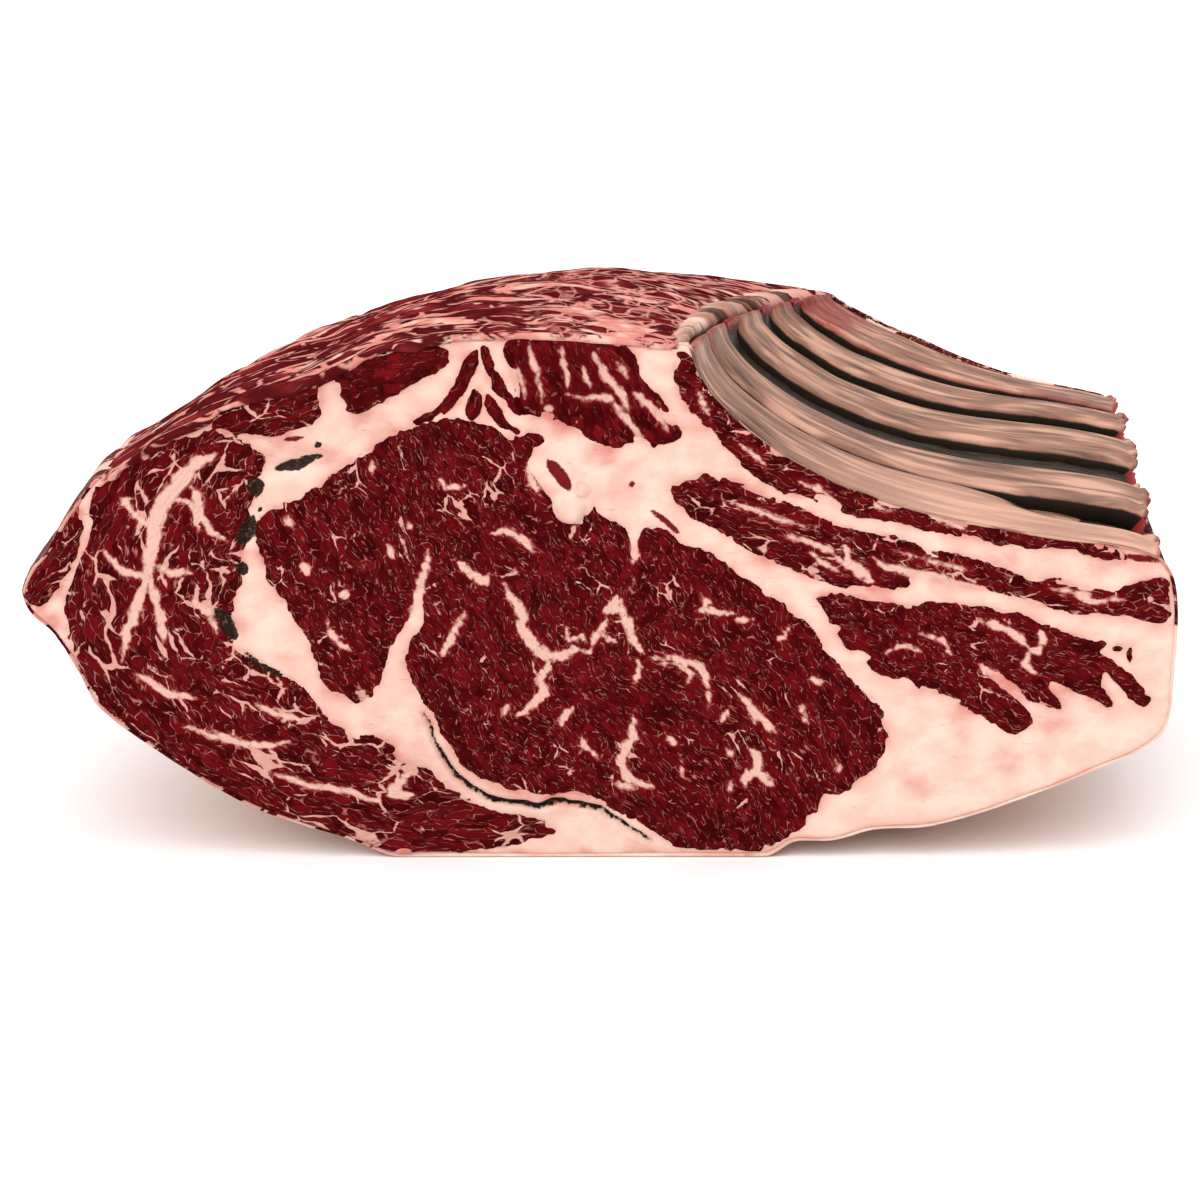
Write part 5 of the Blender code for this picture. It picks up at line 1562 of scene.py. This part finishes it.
def bone_colours(pen, colours, place):
    """Membrane over bone: tan with grey and pink streaks along the rib."""
    place = pen.bend(place, (40.0, 9.0, 9.0), (0.0, 7.0, 0.0))
    streak = pen.noise(place, (22.0, 1.1, 4.0), 3.0, 0.62)
    broad = pen.noise(place, (30.0, 4.2, 5.0), 2.0, 0.5)
    colour = pen.blend(pen.spread(streak, 0.3, 0.72), rgba(colours.bone_grey), rgba(colours.bone_tan))
    colour = pen.blend(pen.times(pen.spread(broad, 0.47, 0.66), 0.75), colour, rgba(colours.bone_pale))
    shade = pen.times(pen.spread(broad, 0.44, 0.28), 0.7)
    return pen.blend(shade, colour, rgba(colours.bone_shade)), streak


def finish_lean(colours):
    """Cut muscle."""
    pen = Pen("marbled_lean")
    place = pen.field("fibre", vector=True)
    colour, share, seam = lean_colours(pen, colours, place, pen.field("rich"), pen.field("vein"))
    # Dried marks, and painted shade in the crevice.
    colour = darken(pen, colours, colour, pen.field("dark"), place)
    glint = pen.noise(place, (1.2, 0.5, 1.2), 2.0, 0.6)
    height = pen.plus(pen.times(glint, 0.7), pen.spread(seam, 0.0, 0.2, 0.0, 0.5))
    pen.bump(pen.plus(height, pen.times(share, 0.25)), 0.6, 0.0006)
    rough = pen.spread(pen.noise(place, (3.0, 2.0, 3.0), 2.0), 0.3, 0.7, 0.16, 0.34)
    return pen.end(colour, rough, 0.015)


def finish_fat(colours):
    """Fat of the cuts."""
    pen = Pen("cut_fat")
    place = pen.field("fibre", vector=True)
    colour, soft, fine = fat_colours(pen, colours, place, pen.field("blush"))
    bits = pen.spread(pen.plus(pen.field("bits"), pen.minus(fine, 0.5)), 0.3, -0.2)
    colour = pen.blend(bits, colour, rgba(colours.lean_bright))
    # Dried marks, and painted shade in the crevice.
    colour = darken(pen, colours, colour, pen.field("dark"), place)
    pen.bump(pen.plus(soft, pen.times(fine, 0.4)), 0.4, 0.0006)
    return pen.end(colour, pen.spread(soft, 0.3, 0.7, 0.34, 0.5), 0.1, 0.15)


def finish_outside(colours):
    """The outside: fat, with patches of lean and the membrane of the rib side."""
    pen = Pen("outside_skin")
    place = pen.field("fibre", vector=True)
    fat, soft, fine = fat_colours(pen, colours, place, pen.field("blush"))
    lean = lean_colours(pen, colours, place, OUTSIDE_RICHNESS, NO_MARK)[0]
    bone = bone_colours(pen, colours, place)[0]
    ragged = pen.times(pen.rag(place, (5.0, 2.5, 4.0), 3.0), 0.9)
    mask = pen.spread(pen.plus(pen.field("lean"), ragged), 0.4, 0.6)
    colour = pen.blend(mask, fat, lean)
    colour = pen.blend(pen.field("bone"), colour, bone)
    colour = pen.blend(pen.times(pen.field("gap"), 0.85), colour, rgba(colours.dried))
    pen.bump(pen.plus(soft, pen.times(fine, 0.5)), 0.45, 0.0008)
    return pen.end(colour, pen.spread(soft, 0.3, 0.7, 0.3, 0.48), 0.003, 0.1)


def finish_top(colours):
    """The lean layer on top: wavy dark lobes between cream lines, paler and scaly at the back."""
    pen = Pen("top_lean_layer")
    place = pen.field("fibre", vector=True)
    bent = pen.bend(place, (15.0, 15.0, 9.0), (10.0, 15.0, 0.0))
    pale = pen.field("pale")
    strand = pen.noise(bent, (19.0, 6.0, 9.0), 3.0, 0.55)
    broad = pen.noise(bent, (26.0, 16.0, 9.0), 2.0, 0.5)
    start = pen.minus(0.585, pen.times(pale, 0.17))
    cream = pen.spread(strand, start, pen.plus(start, 0.07))
    lobe = pen.cells(bent, (17.0, 11.0, 9.0))
    small = pen.cells(bent, (6.4, 8.0, 9.0))
    gate = pen.noise(place, (7.0, 9.0, 6.0), 2.0, 0.5)
    line = pen.times(pen.spread(lobe, 0.055, 0.02), pen.spread(gate, 0.43, 0.56))
    mesh = pen.times(pen.spread(small, 0.09, 0.02), pen.field("scale"))
    mesh = pen.times(mesh, pen.spread(gate, 0.36, 0.52, 0.0, 0.9))
    cream = pen.larger(cream, pen.larger(line, mesh))
    ragged = pen.times(pen.rag(place, (3.0, 1.5, 3.0), 3.0), 7.0)
    cream = pen.larger(cream, pen.spread(pen.plus(pen.field("edge"), ragged), 1.8, 0.2))
    light = pen.plus(pen.times(broad, 0.6), pen.times(lobe, 0.5))
    red = pen.blend(pen.spread(light, 0.28, 0.66), rgba(colours.top_deep), rgba(colours.top_red))
    soft = pen.noise(place, (9.0, 7.0, 9.0), 3.0, 0.55)
    streak_colour = pen.blend(pen.spread(soft, 0.35, 0.65), rgba(colours.marbling), rgba(colours.fat_pink))
    blush = pen.times(pen.spread(gate, 0.34, 0.60), 0.75)
    streak_colour = pen.blend(blush, streak_colour, rgba(colours.fat_blush))
    colour = pen.blend(cream, red, streak_colour)
    fine = pen.noise(bent, (3.0, 0.9, 2.0), 2.0, 0.6)
    pen.bump(pen.plus(pen.spread(lobe, 0.0, 0.2), pen.times(fine, 0.4)), 0.6, 0.0006)
    return pen.end(colour, pen.spread(soft, 0.3, 0.7, 0.24, 0.4), 0.0)


def finish_bone(colours):
    """Ribs under their membrane, red at the sawn ends, and with painted shade where they fall into the
    grooves.
    """
    pen = Pen("rib_membrane")
    place = pen.field("fibre", vector=True)
    colour, streak = bone_colours(pen, colours, place)
    colour = pen.blend(pen.times(pen.field("pale"), 0.5), colour, rgba(colours.bone_pale))
    ragged = pen.rag(place, (9.0, 1.6, 4.0), 3.0)
    pink = pen.plus(pen.field("ends"), pen.times(ragged, 0.9))
    pink = pen.plus(pink, pen.times(pen.field("rear"), 0.5))
    low = pen.plus(pen.field("low"), ragged)
    rim = pen.plus(pen.times(pen.field("rear"), 0.6), 0.12)
    rim = pen.times(pen.spread(low, -0.1, 0.5), rim)
    pink = pen.times(pen.spread(pink, 0.4, 0.95), pen.spread(streak, 0.30, 0.62, 1.0, 0.45))
    pink = pen.larger(pink, rim)
    colour = pen.blend(pink, colour, rgba(colours.bone_red))
    # Painted shade: the rib turns to the groove's near black as it falls into the grooves and along its
    # floor.
    colour = pen.blend(pen.spread(low, 0.5, 1.3), colour, rgba(colours.groove))
    pen.bump(streak, 0.5, 0.0006)
    return pen.end(colour, pen.spread(streak, 0.3, 0.7, 0.3, 0.48), 0.06)


def finish_groove(colours):
    """Tissue between the ribs, near black: dark dried tissue and painted shade of the deep grooves, with a
    few wet glints.
    """
    pen = Pen("groove_tissue")
    place = pen.field("fibre", vector=True)
    streak = pen.noise(place, (14.0, 1.1, 4.0), 3.0, 0.6)
    # Near black: the dark tissue and the painted shade of the grooves.
    colour = pen.blend(pen.spread(streak, 0.35, 0.75), rgba(colours.groove), rgba(colours.groove_light))
    ends = pen.spread(pen.plus(pen.field("ends"), pen.minus(streak, 0.5)), 0.4, 0.9)
    colour = pen.blend(ends, colour, rgba(colours.bone_red))
    fine = pen.noise(place, (1.4, 0.9, 2.0), 2.0, 0.6)
    pen.bump(pen.plus(streak, pen.times(fine, 0.6)), 0.6, 0.0008)
    return pen.end(colour, pen.spread(fine, 0.3, 0.7, 0.22, 0.45), 0.12)


def colour_property(name, description, default):
    """A colour setting."""
    return bpy.props.FloatVectorProperty(
        name=name, description=description, default=default, size=3, min=0.0, max=1.0, subtype="COLOR")


class RoastColours(bpy.types.PropertyGroup):
    """Colours of the roast."""

    lean_deep: colour_property("Deep lean", "Dark red of the cut muscle", (0.040, 0.0006, 0.0012))
    lean_bright: colour_property("Bright lean", "Lightest red of the cut muscle", (0.142, 0.0036, 0.0062))
    lean_shade: colour_property("Lean seam", "Between the bundles of the muscle", (0.018, 0.0005, 0.0008))
    marbling: colour_property("Marbling", "Fine fat inside the muscle", (0.67, 0.335, 0.275))
    # Pale pink of the finest fat lines, also painted as the glints of the wet surface.
    hair_and_glint: colour_property("Hair", "Finest lines of fat inside the muscle", (0.50, 0.165, 0.135))
    vein: colour_property("Vein", "Thick fat inside the muscle", (0.71, 0.42, 0.345))
    fat_cream: colour_property("Cream fat", "Palest fat of the cuts", (0.800, 0.595, 0.495))
    fat_pink: colour_property("Pink fat", "Pinker fat of the cuts", (0.765, 0.470, 0.385))
    fat_blush: colour_property("Blush", "Fat stained by the lean beside it", (0.56, 0.16, 0.13))
    top_deep: colour_property("Deep top", "Darkest red of the top layer", (0.070, 0.0050, 0.0066))
    top_red: colour_property("Red top", "Lightest red of the top layer", (0.26, 0.024, 0.026))
    bone_tan: colour_property("Tan membrane", "Main colour of the ribs", (0.385, 0.200, 0.135))
    bone_pale: colour_property("Pale membrane", "Lightest streaks of the ribs", (0.68, 0.385, 0.275))
    bone_grey: colour_property("Grey membrane", "Greyer streaks of the ribs", (0.180, 0.103, 0.076))
    bone_shade: colour_property("Shaded membrane", "Darkest streaks of the ribs", (0.075, 0.044, 0.033))
    bone_red: colour_property("Red bone edge", "Rib ends and edges", (0.26, 0.022, 0.024))
    # Near black: dark tissue and painted shade of the grooves; the ribs also take it as painted shade where
    # they fall into the grooves.
    groove: colour_property("Groove", "Dark tissue between the ribs", (0.014, 0.009, 0.006))
    groove_light: colour_property("Light groove", "Lighter strands between the ribs", (0.060, 0.042, 0.031))
    # Dried marks; these colours also paint the crevice near black as shade, and the gaps between the ribs on
    # the outside.
    dried: colour_property("Dried mark", "Black of the dried marks", (0.022, 0.011, 0.007))
    dried_brown: colour_property("Brown mark", "Brown of the dried marks", (0.16, 0.088, 0.055))


def step_property(name, description, default, low):
    """A grid step in millimetres."""
    return bpy.props.FloatProperty(
        name=name, description=description + ", in millimetres", default=default, min=low, max=3.0)


class RoastSizes(bpy.types.PropertyGroup):
    """Sizes of the meshes."""

    eye_step: step_property("Eye step", "Grid step of the large muscles", 0.6, 0.4)
    lean_step: step_property("Lean step", "Grid step of the small muscles", 0.5, 0.3)
    fat_step: step_property("Fat step", "Grid step of the cut fat", 0.8, 0.5)
    top_step: step_property("Top step", "Grid step of the top layer", 0.98, 0.6)
    skin_count: bpy.props.IntProperty(
        name="Skin count", description="Points round the outside", default=640, min=120, max=900)


def strength_property(name, description, default):
    """The strength of a light."""
    return bpy.props.FloatProperty(name=name, description=description, default=default, min=0.0)


class RoastStage(bpy.types.PropertyGroup):
    """Light, floor and camera."""

    key_power: strength_property("Key light", "Strength of the broad light from the front", 2.2)
    top_power: strength_property("Top light", "Strength of the broad light from above", 1.6)
    fill: strength_property("Fill", "Strength of the even light from all round", 0.5)
    floor_tone: bpy.props.FloatProperty(
        name="Floor", description="How pale the floor is", default=0.93, min=0.0, max=1.0)


class ROAST_OT_muscles(bpy.types.Operator):
    """Build every muscle that runs from cut to cut"""

    bl_idname = "roast.muscles"
    bl_label = "Muscles"

    def execute(self, context):
        sizes = context.scene.roast_sizes
        finish = finish_lean(context.scene.roast_colours)
        for name in OUTLINES:
            step = sizes.eye_step if name in ("eye_muscle", "cap_muscle") else sizes.lean_step
            make_muscle(name, step, finish)
        for side in (0, 1):
            make_strip(side, sizes.lean_step, finish)
        return {"FINISHED"}


class ROAST_OT_fat(bpy.types.Operator):
    """Build the fat of the cuts and the outside of the roast"""

    bl_idname = "roast.fat"
    bl_label = "Fat"

    def execute(self, context):
        sizes = context.scene.roast_sizes
        make_fat_core(sizes.fat_step, finish_fat(context.scene.roast_colours))
        make_skin(sizes.skin_count, finish_outside(context.scene.roast_colours))
        return {"FINISHED"}


class ROAST_OT_top(bpy.types.Operator):
    """Build the thin lean layer over the top"""

    bl_idname = "roast.top"
    bl_label = "Top layer"

    def execute(self, context):
        make_top_layer(context.scene.roast_sizes.top_step, finish_top(context.scene.roast_colours))
        return {"FINISHED"}


class ROAST_OT_ribs(bpy.types.Operator):
    """Build the five ribs and the dark tissue between them"""

    bl_idname = "roast.ribs"
    bl_label = "Ribs"

    def execute(self, context):
        bone = finish_bone(context.scene.roast_colours)
        groove = finish_groove(context.scene.roast_colours)
        for number in range(1, len(RIB_EDGES) + 1):
            make_rib(number, bone)
        for number in range(1, len(RIB_EDGES)):
            make_groove(number, groove)
        return {"FINISHED"}


def aim(thing, place, target):
    """Place a light or camera and turn it to a target, both in metres."""
    thing.location = place
    way = [target[axis] - place[axis] for axis in range(3)]
    thing.rotation_mode = "XYZ"
    flat = math.hypot(way[0], way[1])
    thing.rotation_euler = (math.atan2(flat, -way[2]), 0.0, math.atan2(-way[0], way[1]))


def make_camera(scene):
    """The camera of the photo's viewing angle."""
    camera = bpy.data.objects.new("camera", bpy.data.cameras.new("camera"))
    camera.data.lens = CAMERA_LENS
    camera.data.sensor_width = CAMERA_SENSOR
    camera.data.clip_start = 0.05
    rise = math.radians(CAMERA_RISE)
    x, y, z = CAMERA_TARGET
    spot = (x, y - CAMERA_DISTANCE * math.cos(rise), z + CAMERA_DISTANCE * math.sin(rise))
    aim(camera, spot, CAMERA_TARGET)
    scene.collection.objects.link(camera)
    scene.camera = camera


def make_light(scene, name, spot, power, spread):
    """A broad light that shines from a spot, in metres, to the middle of the roast."""
    lamp = bpy.data.objects.new(name, bpy.data.lights.new(name, "SUN"))
    lamp.data.energy = power
    lamp.data.angle = math.radians(spread)
    aim(lamp, spot, LIGHT_TARGET)
    scene.collection.objects.link(lamp)


def make_world(scene, strength):
    """Even white light from all round."""
    world = bpy.data.worlds.new("studio")
    world.use_nodes = True
    shade = world.node_tree.nodes["Background"]
    shade.inputs["Color"].default_value = (1.0, 1.0, 1.0, 1.0)
    shade.inputs["Strength"].default_value = strength
    scene.world = world


def make_floor(scene, tone):
    """A plain pale floor of paper."""
    mesh = bpy.data.meshes.new("floor")
    half = FLOOR_HALF
    corners = [(-half, -half, 0), (half, -half, 0), (half, half, 0), (-half, half, 0)]
    mesh.from_pydata(corners, [], [(0, 1, 2, 3)])
    pen = Pen("floor_paper")
    grain = pen.noise(pen.node("ShaderNodeTexCoord").outputs["Object"], (0.4, 0.4, 0.4), 2.0)
    colour = pen.blend(grain, rgba([tone] * 3), rgba([tone + 0.01] * 3))
    mesh.materials.append(pen.end(colour, 0.9, 0.1))
    floor = bpy.data.objects.new("floor", mesh)
    scene.collection.objects.link(floor)


class ROAST_OT_stage(bpy.types.Operator):
    """Build the floor, the lights and the camera"""

    bl_idname = "roast.stage"
    bl_label = "Stage"

    def execute(self, context):
        scene = context.scene
        stage = scene.roast_stage
        make_camera(scene)
        make_light(scene, "key_light", (-0.5, -1.1, 1.25), stage.key_power, 60.0)
        make_light(scene, "top_light", (0.25, 0.25, 1.6), stage.top_power, 80.0)
        make_world(scene, stage.fill)
        make_floor(scene, stage.floor_tone)
        scene.view_settings.view_transform = "Standard"
        scene.view_settings.look = "None"
        return {"FINISHED"}


class ROAST_PT_panel(bpy.types.Panel):
    """Lists the steps and settings of the roast"""

    bl_idname = "ROAST_PT_panel"
    bl_label = "Rib Roast"
    bl_space_type = "VIEW_3D"
    bl_region_type = "UI"
    bl_category = "Roast"

    def draw(self, context):
        layout = self.layout
        for step in STEPS:
            layout.operator(step.bl_idname)
        for group in (context.scene.roast_sizes, context.scene.roast_colours, context.scene.roast_stage):
            box = layout.box()
            for name in group.__annotations__:
                box.prop(group, name)


STEPS = (ROAST_OT_muscles, ROAST_OT_fat, ROAST_OT_top, ROAST_OT_ribs, ROAST_OT_stage)
GROUPS = (RoastColours, RoastSizes, RoastStage)


def register():
    """Add the settings, operators and panel."""
    for one in GROUPS + STEPS + (ROAST_PT_panel,):
        bpy.utils.register_class(one)
    bpy.types.Scene.roast_colours = bpy.props.PointerProperty(type=RoastColours)
    bpy.types.Scene.roast_sizes = bpy.props.PointerProperty(type=RoastSizes)
    bpy.types.Scene.roast_stage = bpy.props.PointerProperty(type=RoastStage)


def unregister():
    """Take the settings, operators and panel away."""
    del bpy.types.Scene.roast_stage
    del bpy.types.Scene.roast_sizes
    del bpy.types.Scene.roast_colours
    for one in reversed(GROUPS + STEPS + (ROAST_PT_panel,)):
        bpy.utils.unregister_class(one)


def main():
    """Build the roast and its stage in order."""
    register()
    bpy.ops.roast.stage()
    bpy.ops.roast.muscles()
    bpy.ops.roast.fat()
    bpy.ops.roast.top()
    bpy.ops.roast.ribs()


if __name__ == "__main__":
    main()
